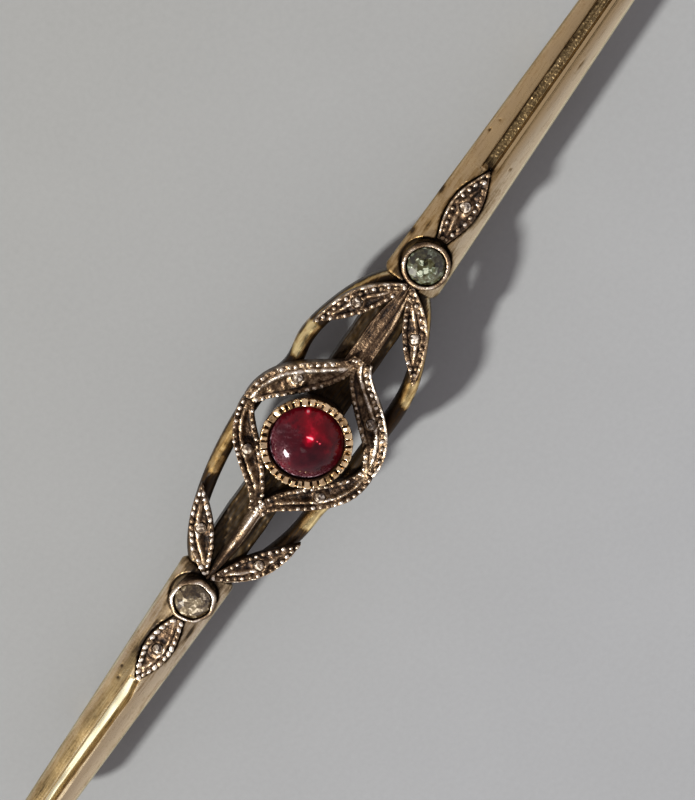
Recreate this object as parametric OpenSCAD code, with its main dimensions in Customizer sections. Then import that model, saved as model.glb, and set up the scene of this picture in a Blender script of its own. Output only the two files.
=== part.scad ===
// Bar brooch. A long gold bar, grooved along both arms, carries an openwork front of
// silver: four ribbons round a domed red stone, four leaves, two small diamonds in
// collets and two sprigs. Sizes are in millimetres. X runs along the bar, Y across it
// and Z up out of its face. The origin is under the middle of the brooch, on the
// surface that its back fittings rest on.

/* [Bar] */
// Length of the whole bar
bar_length = 64; // [60:1:70]
// Width of an arm at its shoulder, beside the openwork
shoulder_width = 3.54; // [3.4:0.02:3.6]
// Width of an arm at its outer end
end_width = 2.4; // [2.2:0.1:3]
// Distance from the middle of the brooch to each shoulder
shoulder_x = 10.4; // [10.2:0.05:10.5]
// Width of the plain core under the stone and the stems
core_width = 2.54; // [2.3:0.02:2.7]
// Width of the groove at its mouth
groove_width = 0.84; // [0.7:0.02:1]
// Depth of the groove
groove_depth = 0.5; // [0.3:0.05:0.6]

/* [Side bows] */
// Half the length of the oval that both bows follow
bow_reach = 10.7; // [10.5:0.1:11]
// Half the width of that oval
bow_rise = 3.6; // [3.5:0.02:3.66]
// Width of the bow
bow_width = 0.98; // [0.8:0.02:1.1]

/* [Heights] */
// Height of the bar's underside over the surface that it rests on
underside_z = 2.9; // [2.6:0.1:3.2]
// Thickness of an arm at its outer edges
edge_thickness = 0.8; // [0.7:0.05:0.9]
// Thickness of an arm beside its groove
ridge_thickness = 1.6; // [1.5:0.05:1.8]
// Thickness of the core and of the bows
core_thickness = 1.2; // [1.1:0.05:1.3]
// Thickness of the leaves, stems and sprigs
leaf_thickness = 0.62; // [0.5:0.02:0.7]
// Thickness of the four ribbons
ribbon_thickness = 0.86; // [0.7:0.02:0.9]

/* [Leaves and sprigs] */
// Greatest half width of a leaf
leaf_half = 0.64; // [0.5:0.02:0.7]
// Distance from the middle to the tips of the leaves, along the bar
leaf_tip_x = 5.8; // [5.7:0.05:6]
// Distance from the middle line to the tips of the leaves, across the bar
leaf_tip_y = 3.4; // [3.3:0.02:3.5]
// Distance from the middle to the root of each sprig
sprig_root_x = 13.7; // [13.6:0.05:13.8]
// Distance from the middle to the tip of each sprig
sprig_tip_x = 18.4; // [18:0.1:19]
// Greatest half width of a sprig
sprig_half = 0.66; // [0.5:0.02:0.72]

/* [Stones] */
// Radius of the red stone
red_radius = 2.15; // [2.05:0.01:2.2]
// Radius of its bezel at the rim
bezel_radius = 2.69; // [2.6:0.01:2.72]
// Height of the bezel's rim over the core
bezel_height = 2.3; // [2:0.05:2.6]
// Distance from the middle to each small collet
collet_x = 12.1; // [12.08:0.01:12.14]
// Radius of a small collet at its rim
collet_radius = 1.38; // [1.3:0.01:1.39]
// Radius of the small diamonds
diamond_radius = 1.08; // [1:0.01:1.1]
// Radius of the tiny rose-cut stones
rose_radius = 0.31; // [0.25:0.01:0.34]

/* [Back fitting] */
// Distance from the middle to the hinge lug and to the catch
fitting_x = 24; // [22:0.5:26]
// Radius of the pin stem
stem_wire_radius = 0.4; // [0.35:0.05:0.45]

/* [Hidden] */
$fn = 64;

gold = "goldenrod";
gold_dark = "darkgoldenrod";
silver = "rosybrown";
silver_light = "silver";

// Clearance between two pieces that sit together
gap = 0.03;
// Clearance cut round the silver where it is let into the gold
let_in = 0.04;
// A little more than a face, so that a cut runs past it
past = 0.1;

bar_half = bar_length / 2;
shoulder_half = shoulder_width / 2;
end_half = end_width / 2;
edge_z = underside_z + edge_thickness;
ridge_z = underside_z + ridge_thickness;
core_z = underside_z + core_thickness;
groove_half = groove_width / 2;
groove_floor_half = groove_half - 0.14;
silver_z = core_z + gap;
leaf_z = silver_z + leaf_thickness;
ribbon_z = silver_z + ribbon_thickness;
shoulder_corner = 0.35;
end_corner = 0.55;

// The four quarters of the front, as signs of X and Y. The lists below have one entry
// for each of them, because the work is handmade and no two quarters are alike.
QUARTERS = [[1, 1], [-1, 1], [-1, -1], [1, -1]];

// The centre of each ribbon, as if it lay in the first quarter, from its meeting with
// the stem to the corner over the bow
RIBBON_LINES = [
    [[5.5, 0.05], [3.6, 0.2], [2.5, 3.5], [0, 3.92]],
    [[5.5, 0.14], [3.55, 0.3], [2.4, 3.6], [0, 3.92]],
    [[5.5, 0.25], [3.7, 0.35], [2.75, 4.1], [0, 4.18]],
    [[5.5, 0.3], [3.7, 0.4], [2.6, 4.1], [0, 4.18]]
];
// Half the width of each ribbon at its start and at its corner, and the swell between
RIBBON_STARTS = [0.32, 0.28, 0.3, 0.54];
RIBBON_CORNERS = [0.38, 0.36, 0.38, 0.38];
RIBBON_SWELLS = [0.56, 0.4, 0.36, 0.36];
ribbon_skew = 1.3;
// Where along the ribbon its small stone sits
ribbon_rose_at = 0.58;
ribbon_overrun = 0.2;

// The centre of a leaf, from its root beside the collet to its tip over the bow
leaf_root = [10.5, 0.14];
leaf_tip = [leaf_tip_x, leaf_tip_y];
leaf_span = leaf_tip - leaf_root;
leaf_side = [leaf_span[1], -leaf_span[0]] / norm(leaf_span);
LEAF_BOWS = [0.22, 0.22, 0.44, 0.22];
LEAF_LINES = [
    for (bow = LEAF_BOWS) [
        leaf_root,
        leaf_root + leaf_span / 3 + leaf_side * bow,
        leaf_root + leaf_span * 2 / 3 + leaf_side * bow,
        leaf_tip
    ]
];
leaf_root_half = 0.1;
leaf_tip_half = 0.02;
leaf_rose_at = 0.52;

stem_root_x = 10.6;
stem_end_x = 4.95;
stem_root_half = 0.14;
// Growth of each stem's half width, and how far its centre strays, right and left
STEM_SWELLS = [0.54, 0.26];
STEM_LEANS = [0, -0.2];
stem_swell_x = 3.5;

sprig_root_half = 0.3;
sprig_rose_x = 16;

outline_steps = 24;

// Where the bows stray from their oval: the side of the bar, the place along it, the
// length over which it is felt, and how far outwards
BOW_BENDS = [[1, 2.8, 1.5, -0.6], [-1, 5.3, 3, 0.45], [-1, -3.7, 1.5, -0.2]];

// A point on a cubic curve through p[0] and p[3], at t from 0 to 1
function curve_at(p, t) =
    pow(1 - t, 3) * p[0] + 3 * pow(1 - t, 2) * t * p[1]
    + 3 * (1 - t) * pow(t, 2) * p[2] + pow(t, 3) * p[3];

// The direction of that curve
function curve_way(p, t) =
    pow(1 - t, 2) * (p[1] - p[0]) + 2 * (1 - t) * t * (p[2] - p[1])
    + pow(t, 2) * (p[3] - p[2]);

// The unit vector to the left of a direction
function left_of(way) = [-way[1], way[0]] / norm(way);

// A point on that curve, with its two ends drawn out by a length
function line_at(p, t, longer) = let (way = curve_way(p, t))
    curve_at(p, t) + way / norm(way) * (t == 0 ? -longer : t == 1 ? longer : 0);

// The outline of a strip along a curve, whose half width at step i is halves[i]
function strip(p, halves, longer = 0) = let (n = len(halves) - 1) concat(
    [for (i = [0:n]) line_at(p, i / n, longer) + left_of(curve_way(p, i / n)) * halves[i]],
    [for (i = [n:-1:0]) line_at(p, i / n, longer) - left_of(curve_way(p, i / n)) * halves[i]]
);

function ribbon_halves(k) = [
    for (i = [0:outline_steps]) let (t = i / outline_steps)
        RIBBON_STARTS[k] * (1 - t) + RIBBON_CORNERS[k] * t
        + RIBBON_SWELLS[k] * sin(180 * pow(t, ribbon_skew))
];

function leaf_halves(grow) = [
    for (i = [0:outline_steps]) let (t = i / outline_steps)
        leaf_root_half * (1 - t) + leaf_tip_half * t + leaf_half * sin(180 * t) + grow
];

// How far a stem has grown at x, from 0 at its root to 1
function stem_growth(x) = sin(90 * min(1, max(0, (stem_root_x - x) / stem_swell_x)));

// One edge of a stem as if it lay on the right: k is 0 for the right stem, 1 for the left
function stem_edge(k, x, side, grow) =
    STEM_LEANS[k] * stem_growth(x)
    + side * (stem_root_half + STEM_SWELLS[k] * stem_growth(x) + grow);

function stem_outline(k, grow) = let (
    xs = [
        for (i = [0:outline_steps])
            stem_root_x + grow - i / outline_steps * (stem_root_x + grow - stem_end_x)
    ]
) concat(
    [for (x = xs) [x, stem_edge(k, x, 1, grow)]],
    [for (i = [outline_steps:-1:0]) [xs[i], stem_edge(k, xs[i], -1, grow)]]
);

// The centre of a sprig, and its half widths from root to tip
SPRIG_LINE = [for (i = [0:3]) [sprig_root_x + i / 3 * (sprig_tip_x - sprig_root_x), 0]];

function sprig_halves(grow) = [
    for (i = [0:outline_steps]) let (t = i / outline_steps)
        sprig_root_half * (1 - t) + leaf_tip_half * t + sprig_half * sin(180 * t) + grow
];

// The points of an arc round c
function arc(c, r, from, to, n = 8) =
    [for (i = [0:n]) let (a = from + (to - from) * i / n) c + r * [cos(a), sin(a)]];

// An upright plate from one height to another, over an outline
module plate(from_z, to_z) {
    translate([0, 0, from_z]) linear_extrude(to_z - from_z) children();
}

// The shape carried from the first quarter into the quarter k
module in_quarter(k) {
    mirror([QUARTERS[k][0] < 0 ? 1 : 0, 0, 0])
        mirror([0, QUARTERS[k][1] < 0 ? 1 : 0, 0]) children();
}

// The shape and its mirror image at the other end of the bar
module at_both_ends() {
    children();
    mirror([1, 0, 0]) children();
}

// The outlines of the four leaves and of both stems, drawn out by a clearance
module leaves_and_stems(grow) {
    for (k = [0:3]) in_quarter(k) polygon(strip(LEAF_LINES[k], leaf_halves(grow), grow));
    polygon(stem_outline(0, grow));
    mirror([1, 0]) polygon(stem_outline(1, grow));
}

// The right arm seen from above, wide at its rounded shoulder and narrow at its end
module arm_outline() {
    c = shoulder_corner;
    e = end_corner;
    polygon(concat(
        arc([shoulder_x + c, -shoulder_half + c], c, 180, 270),
        arc([bar_half - e, -end_half + e], e, 270, 360),
        arc([bar_half - e, end_half - e], e, 0, 90),
        arc([shoulder_x + c, shoulder_half - c], c, 90, 180)
    ));
}

// The arm across its length: upright edges, and slopes that rise to the groove
module arm_section() {
    polygon([
        [-shoulder_half, underside_z], [shoulder_half, underside_z],
        [shoulder_half, edge_z], [groove_half, ridge_z],
        [-groove_half, ridge_z], [-shoulder_half, edge_z]
    ]);
}

module groove_section() {
    floor_z = ridge_z - groove_depth;
    polygon([
        [-groove_floor_half, floor_z], [groove_floor_half, floor_z],
        [groove_half, ridge_z], [groove_half, ridge_z + past],
        [-groove_half, ridge_z + past], [-groove_half, ridge_z]
    ]);
}

// A section drawn across the bar, run along it from one place to another
module run_along(from_x, to_x) {
    translate([from_x, 0, 0]) rotate([90, 0, 90]) linear_extrude(to_x - from_x) children();
}

module arm() {
    difference() {
        intersection() {
            plate(underside_z, ridge_z) arm_outline();
            run_along(shoulder_x - past, bar_half + past) arm_section();
        }
        run_along(sprig_tip_x - past, bar_half + past) groove_section();
    }
}

// How far outwards a bow strays at x, on one side of the bar
function bow_bend(x, side, i = 0) = i == len(BOW_BENDS) ? 0
    : bow_bend(x, side, i + 1)
    + (BOW_BENDS[i][0] == side
        ? BOW_BENDS[i][3] * exp(-pow((x - BOW_BENDS[i][1]) / BOW_BENDS[i][2], 2))
        : 0);

// The oval band that shows as a bow along each side of the openwork
module bows() {
    n = 96;
    function oval(grow) = [
        for (i = [0:n - 1])
            let (a = (i + 0.5) * 360 / n, x = (bow_reach + grow) * cos(a), side = sign(sin(a)))
            [x, (bow_rise + grow) * sin(a) + side * abs(sin(a)) * bow_bend(x, side)]
    ];
    difference() {
        plate(underside_z, core_z) polygon(oval(bow_width / 2));
        plate(underside_z - past, core_z + past) polygon(oval(-bow_width / 2));
    }
}

module gold_bar() {
    core_length = 2 * (shoulder_x + shoulder_corner + past);
    color(gold) difference() {
        union() {
            at_both_ends() arm();
            translate([-core_length / 2, -core_width / 2, underside_z])
                cube([core_length, core_width, core_thickness]);
            bows();
        }
        at_both_ends() {
            translate([collet_x, 0, core_z])
                cylinder(r = collet_radius + let_in, h = ridge_thickness);
            plate(core_z, ridge_z + past) polygon(strip(SPRIG_LINE, sprig_halves(let_in), let_in));
        }
        plate(core_z, ridge_z + past) leaves_and_stems(let_in);
    }
}

// A ribbon, run a little past its corner so that two ribbons join
module ribbon_outline(k) {
    polygon(strip(RIBBON_LINES[k], ribbon_halves(k)));
    translate([-ribbon_overrun, RIBBON_LINES[k][3][1] - RIBBON_CORNERS[k]])
        square([2 * ribbon_overrun, 2 * RIBBON_CORNERS[k]]);
}

function rose_place(line, at, k) =
    let (p = curve_at(line, at)) [QUARTERS[k][0] * p[0], QUARTERS[k][1] * p[1]];

// A round seat sunk into the silver for a tiny stone
module rose_seat(p, top_z) {
    translate([p[0], p[1], top_z - rose_radius])
        cylinder(r = rose_radius + gap, h = rose_radius + past);
}

module silver_openwork() {
    color(silver) difference() {
        union() {
            plate(silver_z, leaf_z) leaves_and_stems(0);
            plate(silver_z, ribbon_z) for (k = [0:3]) in_quarter(k) ribbon_outline(k);
        }
        for (k = [0:3]) {
            rose_seat(rose_place(RIBBON_LINES[k], ribbon_rose_at, k), ribbon_z);
            rose_seat(rose_place(LEAF_LINES[k], leaf_rose_at, k), leaf_z);
        }
    }
}

module sprig(side) {
    color(silver) mirror([side < 0 ? 1 : 0, 0, 0]) difference() {
        plate(silver_z, leaf_z) polygon(strip(SPRIG_LINE, sprig_halves(0)));
        rose_seat([sprig_rose_x, 0], leaf_z);
    }
}

// A small flared cup, bored for its stone and open below
module collet(side) {
    height = 1.15;
    foot_radius = 1.2;
    seat_height = 0.4;
    hole_radius = 0.7;
    color(silver_light) translate([side * collet_x, 0, silver_z]) difference() {
        cylinder(r1 = foot_radius, r2 = collet_radius, h = height);
        translate([0, 0, seat_height])
            cylinder(r = diamond_radius + gap, h = height);
        translate([0, 0, -past]) cylinder(r = hole_radius, h = height);
    }
}

// An old-cut diamond: a table, a sloping crown, and a pavilion that ends in a small flat
module diamond(side) {
    girdle_z = silver_z + 0.97;
    crown = 0.36;
    pavilion = 0.55;
    table_radius = diamond_radius * 0.55;
    culet_radius = diamond_radius * 0.3;
    color("lightcyan") translate([side * collet_x, 0, girdle_z]) {
        cylinder(r1 = diamond_radius, r2 = table_radius, h = crown);
        translate([0, 0, -pavilion])
            cylinder(r1 = culet_radius, r2 = diamond_radius, h = pavilion);
    }
}

// The gold cup of the red stone: a flared wall with a bored seat
module stone_bezel() {
    foot_radius = 2.35;
    seat_height = 1;
    hole_radius = 1.3;
    color(gold) translate([0, 0, silver_z]) difference() {
        cylinder(r1 = foot_radius, r2 = bezel_radius, h = bezel_height - gap);
        translate([0, 0, seat_height])
            cylinder(r = red_radius + gap, h = bezel_height);
        translate([0, 0, -past]) cylinder(r = hole_radius, h = bezel_height);
    }
}

// The red stone: a low pavilion on the seat, and a dome over its girdle
module red_stone() {
    base_z = silver_z + 1 + gap;
    girdle_z = base_z + 0.62;
    base_radius = 1.5;
    dome = 1.2;
    dome_radius = (pow(red_radius, 2) + pow(dome, 2)) / (2 * dome);
    centre_z = girdle_z + dome - dome_radius;
    half_angle = asin(red_radius / dome_radius);
    color("crimson") rotate_extrude() polygon(concat(
        [[0, base_z], [base_radius, base_z]],
        [
            for (i = [0:16]) let (a = half_angle * (1 - i / 16))
                [dome_radius * sin(a), centre_z + dome_radius * cos(a)]
        ]
    ));
}

// A tiny rose-cut stone, flat below and drawn in to a small top
module rose(p, top_z) {
    stand = 0.1;
    color("white") translate([p[0], p[1], top_z - rose_radius + gap])
        cylinder(r1 = rose_radius, r2 = rose_radius * 0.4, h = rose_radius + stand - gap);
}

module rose_ribbon(k) {
    rose(rose_place(RIBBON_LINES[k], ribbon_rose_at, k), ribbon_z);
}

module rose_leaf(k) {
    rose(rose_place(LEAF_LINES[k], leaf_rose_at, k), leaf_z);
}

module rose_sprig(side) {
    rose([side * sprig_rose_x, 0], leaf_z);
}

// The hinge lug, pin stem and catch as one plain piece, flat where it rests
module pin_and_catch() {
    top_z = underside_z - gap;
    barrel_radius = 0.9;
    barrel_z = 0.8;
    hinge_width = 1.6;
    catch_radius = 0.9;
    catch_z = 0.8;
    catch_length = 2.2;
    post_half = 0.45;
    stem_z = catch_z;
    slot_half = stem_wire_radius + gap;
    stem_past = 0.9;
    color(gold_dark) intersection() {
        translate([-bar_half, -shoulder_half, 0]) cube([bar_length, shoulder_width, top_z]);
        union() {
            translate([-fitting_x, hinge_width / 2, barrel_z]) rotate([90, 0, 0])
                cylinder(r = barrel_radius, h = hinge_width);
            translate([-fitting_x - post_half, -hinge_width / 2, barrel_z])
                cube([2 * post_half, hinge_width, top_z - barrel_z]);
            difference() {
                union() {
                    translate([fitting_x - catch_length / 2, 0, catch_z]) rotate([0, 90, 0])
                        cylinder(r = catch_radius, h = catch_length);
                    translate([fitting_x - catch_length / 2, 0, catch_z])
                        cube([catch_length, catch_radius, top_z - catch_z]);
                }
                translate([fitting_x - catch_length, -catch_radius - past, catch_z - slot_half])
                    cube([2 * catch_length, catch_radius + past, 2 * slot_half]);
            }
            translate([-fitting_x, 0, stem_z]) rotate([0, 90, 0])
                cylinder(r = stem_wire_radius, h = 2 * fitting_x + catch_length / 2 + stem_past);
        }
    }
}

gold_bar();
silver_openwork();
sprig(-1);  // sprig_left
sprig(1);  // sprig_right
collet(-1);  // collet_left
collet(1);  // collet_right
diamond(-1);  // diamond_left
diamond(1);  // diamond_right
stone_bezel();
red_stone();
rose_ribbon(0);  // rose_ribbon_1
rose_ribbon(1);  // rose_ribbon_2
rose_ribbon(2);  // rose_ribbon_3
rose_ribbon(3);  // rose_ribbon_4
rose_leaf(0);  // rose_leaf_1
rose_leaf(1);  // rose_leaf_2
rose_leaf(2);  // rose_leaf_3
rose_leaf(3);  // rose_leaf_4
rose_sprig(-1);  // rose_sprig_left
rose_sprig(1);  // rose_sprig_right
pin_and_catch();
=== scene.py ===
import math

import bpy
import numpy as np
from bpy.props import FloatProperty, FloatVectorProperty, IntProperty, PointerProperty
from mathutils import Matrix, Vector


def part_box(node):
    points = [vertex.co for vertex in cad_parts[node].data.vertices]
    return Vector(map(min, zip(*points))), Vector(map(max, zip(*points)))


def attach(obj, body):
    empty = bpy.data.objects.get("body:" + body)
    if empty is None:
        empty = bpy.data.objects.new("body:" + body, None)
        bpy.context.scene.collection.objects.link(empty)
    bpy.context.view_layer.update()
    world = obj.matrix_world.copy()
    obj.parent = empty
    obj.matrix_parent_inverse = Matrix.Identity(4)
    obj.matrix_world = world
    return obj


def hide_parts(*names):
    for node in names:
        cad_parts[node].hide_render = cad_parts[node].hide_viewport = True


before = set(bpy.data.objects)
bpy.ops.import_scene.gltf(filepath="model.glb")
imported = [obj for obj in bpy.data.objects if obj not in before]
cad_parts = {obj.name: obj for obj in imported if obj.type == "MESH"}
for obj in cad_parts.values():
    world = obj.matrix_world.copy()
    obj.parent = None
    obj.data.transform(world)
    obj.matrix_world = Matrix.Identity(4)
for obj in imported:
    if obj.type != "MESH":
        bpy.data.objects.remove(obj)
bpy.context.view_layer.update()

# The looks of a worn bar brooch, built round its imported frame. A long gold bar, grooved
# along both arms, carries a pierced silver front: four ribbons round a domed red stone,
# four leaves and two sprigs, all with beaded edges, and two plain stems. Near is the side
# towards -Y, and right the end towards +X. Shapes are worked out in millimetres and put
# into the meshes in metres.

bl_info = {
    "name": "Bar brooch",
    "version": (1, 0, 0),
    "blender": (4, 5, 0),
    "location": "View3D > Sidebar > Brooch",
    "description": "Builds the worn gold, silver and stones of a bar brooch round its frame",
    "category": "Object",
}

MM = 0.001
TURN = 2 * math.pi


def span(node):
    """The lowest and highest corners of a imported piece, in millimetres."""
    low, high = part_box(node)
    return np.array(low) / MM, np.array(high) / MM


def seating(node):
    """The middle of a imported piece, its radius, and the heights of its foot and top."""
    low, high = span(node)
    return (low + high) / 2, (high - low)[0] / 2, low[2], high[2]


# Heights and reaches that the frame gives
UNDERSIDE = span("gold_bar")[0][2]
BAR_END, _, RIDGE = span("gold_bar")[1]
SILVER_FOOT = span("silver_openwork")[0][2]
STEM_ROOT, _, RIBBON_TOP = span("silver_openwork")[1]
SPRIG_ROOT = span("sprig_right")[0][0]
SPRIG_TIP, _, LEAF_TOP = span("sprig_right")[1]
COLLET_X = seating("collet_right")[0][0]
_, COLLET_RADIUS, _, COLLET_TOP = seating("collet_right")
CORE_TOP = SILVER_FOOT - 0.03
BEZEL_RADIUS, _, BEZEL_TOP = span("stone_bezel")[1]
STONE_RADIUS, _, STONE_TOP = span("red_stone")[1]
STONE_FOOT = span("red_stone")[0][2]

# The bar: where each arm begins, its half widths there and at its end, and its corners'
# radii there, by side, and at its end
SHOULDER_X = 10.4
SHOULDER_HALF = 1.77
END_HALF = 1.2
SHOULDER_CORNERS = {1: 0.55, -1: 0.3}
END_CORNER = 0.55
GROOVE_HALF = 0.42
GROOVE_DEPTH = 0.38
ROOF_FALL = 0.6
ROOF_SLOPE = ROOF_FALL / (SHOULDER_HALF - GROOVE_HALF)
STEM_SEAT_HALF = 0.45
CORE_HALF = 1.27
BOW_REACH = 10.7
BOW_RISE = 3.6
BOW_HALF = 0.49

# How many rings an arm has beyond FINE_FROM, more where the groove's floor is rough, and
# how far from its middle its points are evenly spaced
FINE_FROM = 19.2
OUTER_RINGS = {1: 340, -1: 130}
EVEN_HALF = 0.64

# The raised lips round the seats in the arms, and how stained the gold is near them
SEAT_LIPS = {1: 0.02, -1: 0.01}
SEAT_STAINS = {1: 0.26, -1: 0.14}

# Where the bows stray from their oval: the side of the bar, the place along it, the
# length over which it is felt, and how far outwards
BOW_BENDS = ((1, 2.8, 1.5, -0.6), (-1, 5.3, 3, 0.45), (-1, -3.7, 1.5, -0.2))

# Where the bows' gold is rubbed bare: the side of the bar, from where to where, and how
# bright its polish and painted highlight along the crown are
BARE_GOLD = ((1, 3.4, 5.7, 2.3), (-1, 4.3, 6.0, 1.2), (1, -5.1, -1.7, 0.25), (-1, -5.1, -2.9, 1.5))

# Beads: how wide apart, how bright, how far turned and how much drawn out they are
PLAIN_BEADS = (1.0, 1.0, 0.0, 1.0)
SLANTED_BEADS = (1.0, 1.25, 0.3, 1.35)

# The silver, one entry for each quarter of the front, drawn as if all lay in the first.
# A ribbon's centre line, its half widths at both ends and the swell between them, its
# rim, how bright and how wide its crest is, and how much lighter it is as a whole
QUARTERS = ((1, 1), (-1, 1), (-1, -1), (1, -1))
RIBBONS = (
    (((5.5, 0.05), (3.6, 0.2), (2.5, 3.5), (0, 3.92)), (0.32, 0.38, 0.56), 0.02, 0.6, 0.21, 0.17),
    (((5.5, 0.14), (3.55, 0.3), (2.4, 3.6), (0, 3.92)), (0.28, 0.36, 0.4), 0.0, 0.4, 0.12, 0.0),
    (((5.5, 0.25), (3.7, 0.35), (2.75, 4.1), (0, 4.18)), (0.3, 0.38, 0.36), 0.0, 0.35, 0.11, 0.06),
    (((5.5, 0.3), (3.7, 0.4), (2.6, 4.1), (0, 4.18)), (0.54, 0.38, 0.36), 0.16, 0.55, 0.15, 0.13),
)

# The place of the small silver pellet on the last ribbon
PELLET = (1.31, -3.27)

# How far a leaf bows outwards, its rim, how much lighter it is, and its beads
LEAVES = (
    (0.22, 0.14, 0.0, PLAIN_BEADS),
    (0.22, 0.0, 0.03, SLANTED_BEADS),
    (0.44, 0.06, -0.05, PLAIN_BEADS),
    (0.22, 0.16, -0.05, PLAIN_BEADS),
)
LEAF_ROOT = np.array((10.5, 0.14))
LEAF_TIP = np.array((5.8, 3.4))
LEAF_HALVES = (0.14, 0.02, 0.64)

# The sprigs: side and name, rim, how much lighter each is, and its beads
SPRIGS = ((1, "right", 0.12, -0.09, (1.1, 1.0, 0.0, 1.0)), (-1, "left", 0.0, 0.04, (1.0, 1.3, 0.5, 1.6)))
SPRIG_HALVES = (0.3, 0.02, 0.66)

# The stems: side and name, the growth of the half width, and how far the centre strays
STEMS = ((1, "right", 0.54, 0), (-1, "left", 0.26, -0.2))
STEM_END = 4.95

# The small cups: side and name, how many waves their outline has and how high they are,
# the rim's width and how far it falls, how bright it is, and how far the stone is turned
COLLETS = (
    (1, "right", 3, 0.01, 0.18, 0.1, 0.82, 0.55),
    (-1, "left", 7, 0.02, 0.14, 0.2, 1.1, -0.2),
)

# The red stone's two rings of facets: how many, how they lean, how deep and how turned,
# and how softly they meet
DOME_FACETS = ((6, 0.3, 0.03, 0.35), (9, 0.72, 0.035, 0.1))
DOME_SOFTNESS = 0.012

# Lights and shades in the red stone, the first by their place along and across the bar
# and the second to the right and up in the picture: their place, width and brightness
STONE_LIGHTS = ((1.1, 0.2, 0.75, 0.32), (0.5, 0.08, 0.24, 0.42), (1.68, 0.96, 0.12, 0.6))
STONE_SHADES = ((-0.95, 0.75, 0.75, -0.14), (0.35, -0.95, 0.85, -0.2))

# How finely a tooth of the bezel's rim is stepped, and a bead's sides and levels
TOOTH_STEPS = 16
BEAD_SIDES = 8
BEAD_LEVELS = 6

# The diamonds' painted reflection patches, from dark to pale, and their size
DIAMONDS = {
    "right diamond": (0.32, (
        (0, (0.008, 0.007, 0.003)), (0.3, (0.035, 0.031, 0.011)), (0.6, (0.075, 0.073, 0.035)),
        (0.88, (0.12, 0.145, 0.1)), (1, (0.5, 0.53, 0.4)),
    )),
    "left diamond": (0.28, (
        (0, (0.03, 0.017, 0.006)), (0.35, (0.085, 0.057, 0.025)), (0.7, (0.16, 0.12, 0.065)),
        (0.9, (0.3, 0.24, 0.15)), (1, (0.7, 0.6, 0.44)),
    )),
    "rose-cut stone": (0.2, (
        (0, (0.04, 0.024, 0.014)), (0.35, (0.12, 0.08, 0.048)), (0.7, (0.33, 0.25, 0.17)),
        (1, (0.9, 0.82, 0.7)),
    )),
}

# Painted shade on the gold beyond the groove on the left arm, and a tint on that arm's
# inner half
FAR_SHADE_TINT = (0.6, 0.6, 0.54)
LEFT_TINT = (0.93, 0.96, 1.06)

# Pits, nicks and stains on the arms: place, half size along and across the bar, and depth
ARM_MARKS = (
    (20.27, 1.27, 0.14, 0.06, 0.05),
    (21.03, 1.13, 0.1, 0.05, 0.04),
    (19.09, -0.9, 0.12, 0.06, 0.04),
    (13.2, 1.6, 0.25, 0.1, 0.05),
    (26.03, -0.78, 0.4, 0.05, 0.03),
    (23.6, 0.45, 0.12, 0.07, 0.05),
    (16.02, 1.57, 0.3, 0.12, 0.05),
    (13.95, 1.09, 0.5, 0.12, 0.02),
    (-18.94, 0.92, 0.12, 0.05, 0.04),
    (-18.23, 1.15, 0.1, 0.05, 0.03),
    (-15.2, 0.95, 0.9, 0.1, 0.01),
    (-14.2, -1.1, 0.8, 0.12, 0.01),
)

# The photograph's frame and its camera: tilts from straight above and the turn in the
# picture in degrees, the distance in millimetres, and the pixel that shows a point in
# the middle of the brooch at the given height
FRAME_WIDTH = 695
FRAME_HEIGHT = 800
CAMERA_TILTS = (14.336, 9.47)
CAMERA_TURN = 55.055
CAMERA_DISTANCE = 125.03
PIXELS_PER_MM = 17.5
ANCHOR_PIXEL = (306.53, 437.2)
ANCHOR_HEIGHT = 5.0
SENSOR_MM = 36

# Ways from the brooch to the main light, to the sky's bright patch and to its dark cap,
# the sky's colours from the horizon up, and the colours of the main light and the cap
SUN_WAY = (-0.79, 0.28, 0.55)
BRIGHT_WAY = (-0.42, -0.09, 0.905)
DARK_WAY = (-0.05, -0.05, 1)
SKY = (
    (0, (0.56, 0.52, 0.54)), (0.35, (0.64, 0.59, 0.61)),
    (0.7, (0.5, 0.46, 0.48)), (1, (0.42, 0.385, 0.4)),
)
SUNLIGHT = (1, 0.99, 0.955)
DARK_SKY = (0.08, 0.075, 0.08)

# Half the side of the floor, in metres
FLOOR_HALF = 0.6


# Shapes


class Shell:
    """One or more closed surfaces: points in millimetres, faces of three or four corners,
    flat or smooth, and two painted values for each point: wear, which also carries
    painted highlights and glow, and stain, which also carries scuffs, painted shade and
    a painted highlight."""

    def __init__(self, points, faces, wear_and_light, stain_and_shade=0.0, flat=False):
        self.points = points
        self.faces = faces
        self.flat = flat
        self.wear_and_light = np.broadcast_to(wear_and_light, len(points))
        self.stain_and_shade = np.broadcast_to(stain_and_shade, len(points))


def smooth(value, start, end):
    """Runs from 0 at start to 1 at end, level at both: 3t^2 - 2t^3. Either may be lower."""
    t = np.clip((value - start) / (end - start), 0, 1)
    return t * t * (3 - 2 * t)


def hump(value, at, width):
    """A bell of height 1 round a place: e to the minus square of the distance over width."""
    return np.exp(-(((value - at) / width) ** 2))


def uneven(x, y, cell, seed):
    """Soft unevenness from -1 to 1: random heights on a lattice, blended between its
    corners with 3t^2 - 2t^3 in both directions. cell is its size, or one for each way."""
    size = 64
    heights = np.random.default_rng(seed).uniform(-1, 1, (size, size))
    cell_x, cell_y = np.broadcast_to(cell, 2)
    u, v = np.broadcast_arrays(x / cell_x, y / cell_y)
    i, j = np.floor(u).astype(int), np.floor(v).astype(int)
    f, g = smooth(u - i, 0, 1), smooth(v - j, 0, 1)

    def row(j):
        return heights[i % size, j % size] * (1 - f) + heights[(i + 1) % size, j % size] * f

    return row(j) * (1 - g) + row(j + 1) * g


def swelling(t, start, end, swell, skew=1.0):
    """A half width that runs evenly from start to end, plus a swell: a sine of t^skew."""
    return start * (1 - t) + end * t + swell * np.sin(math.pi * t**skew)


def evenly(count):
    """Angles spaced evenly round a turn."""
    return np.arange(count) * TURN / count


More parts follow.
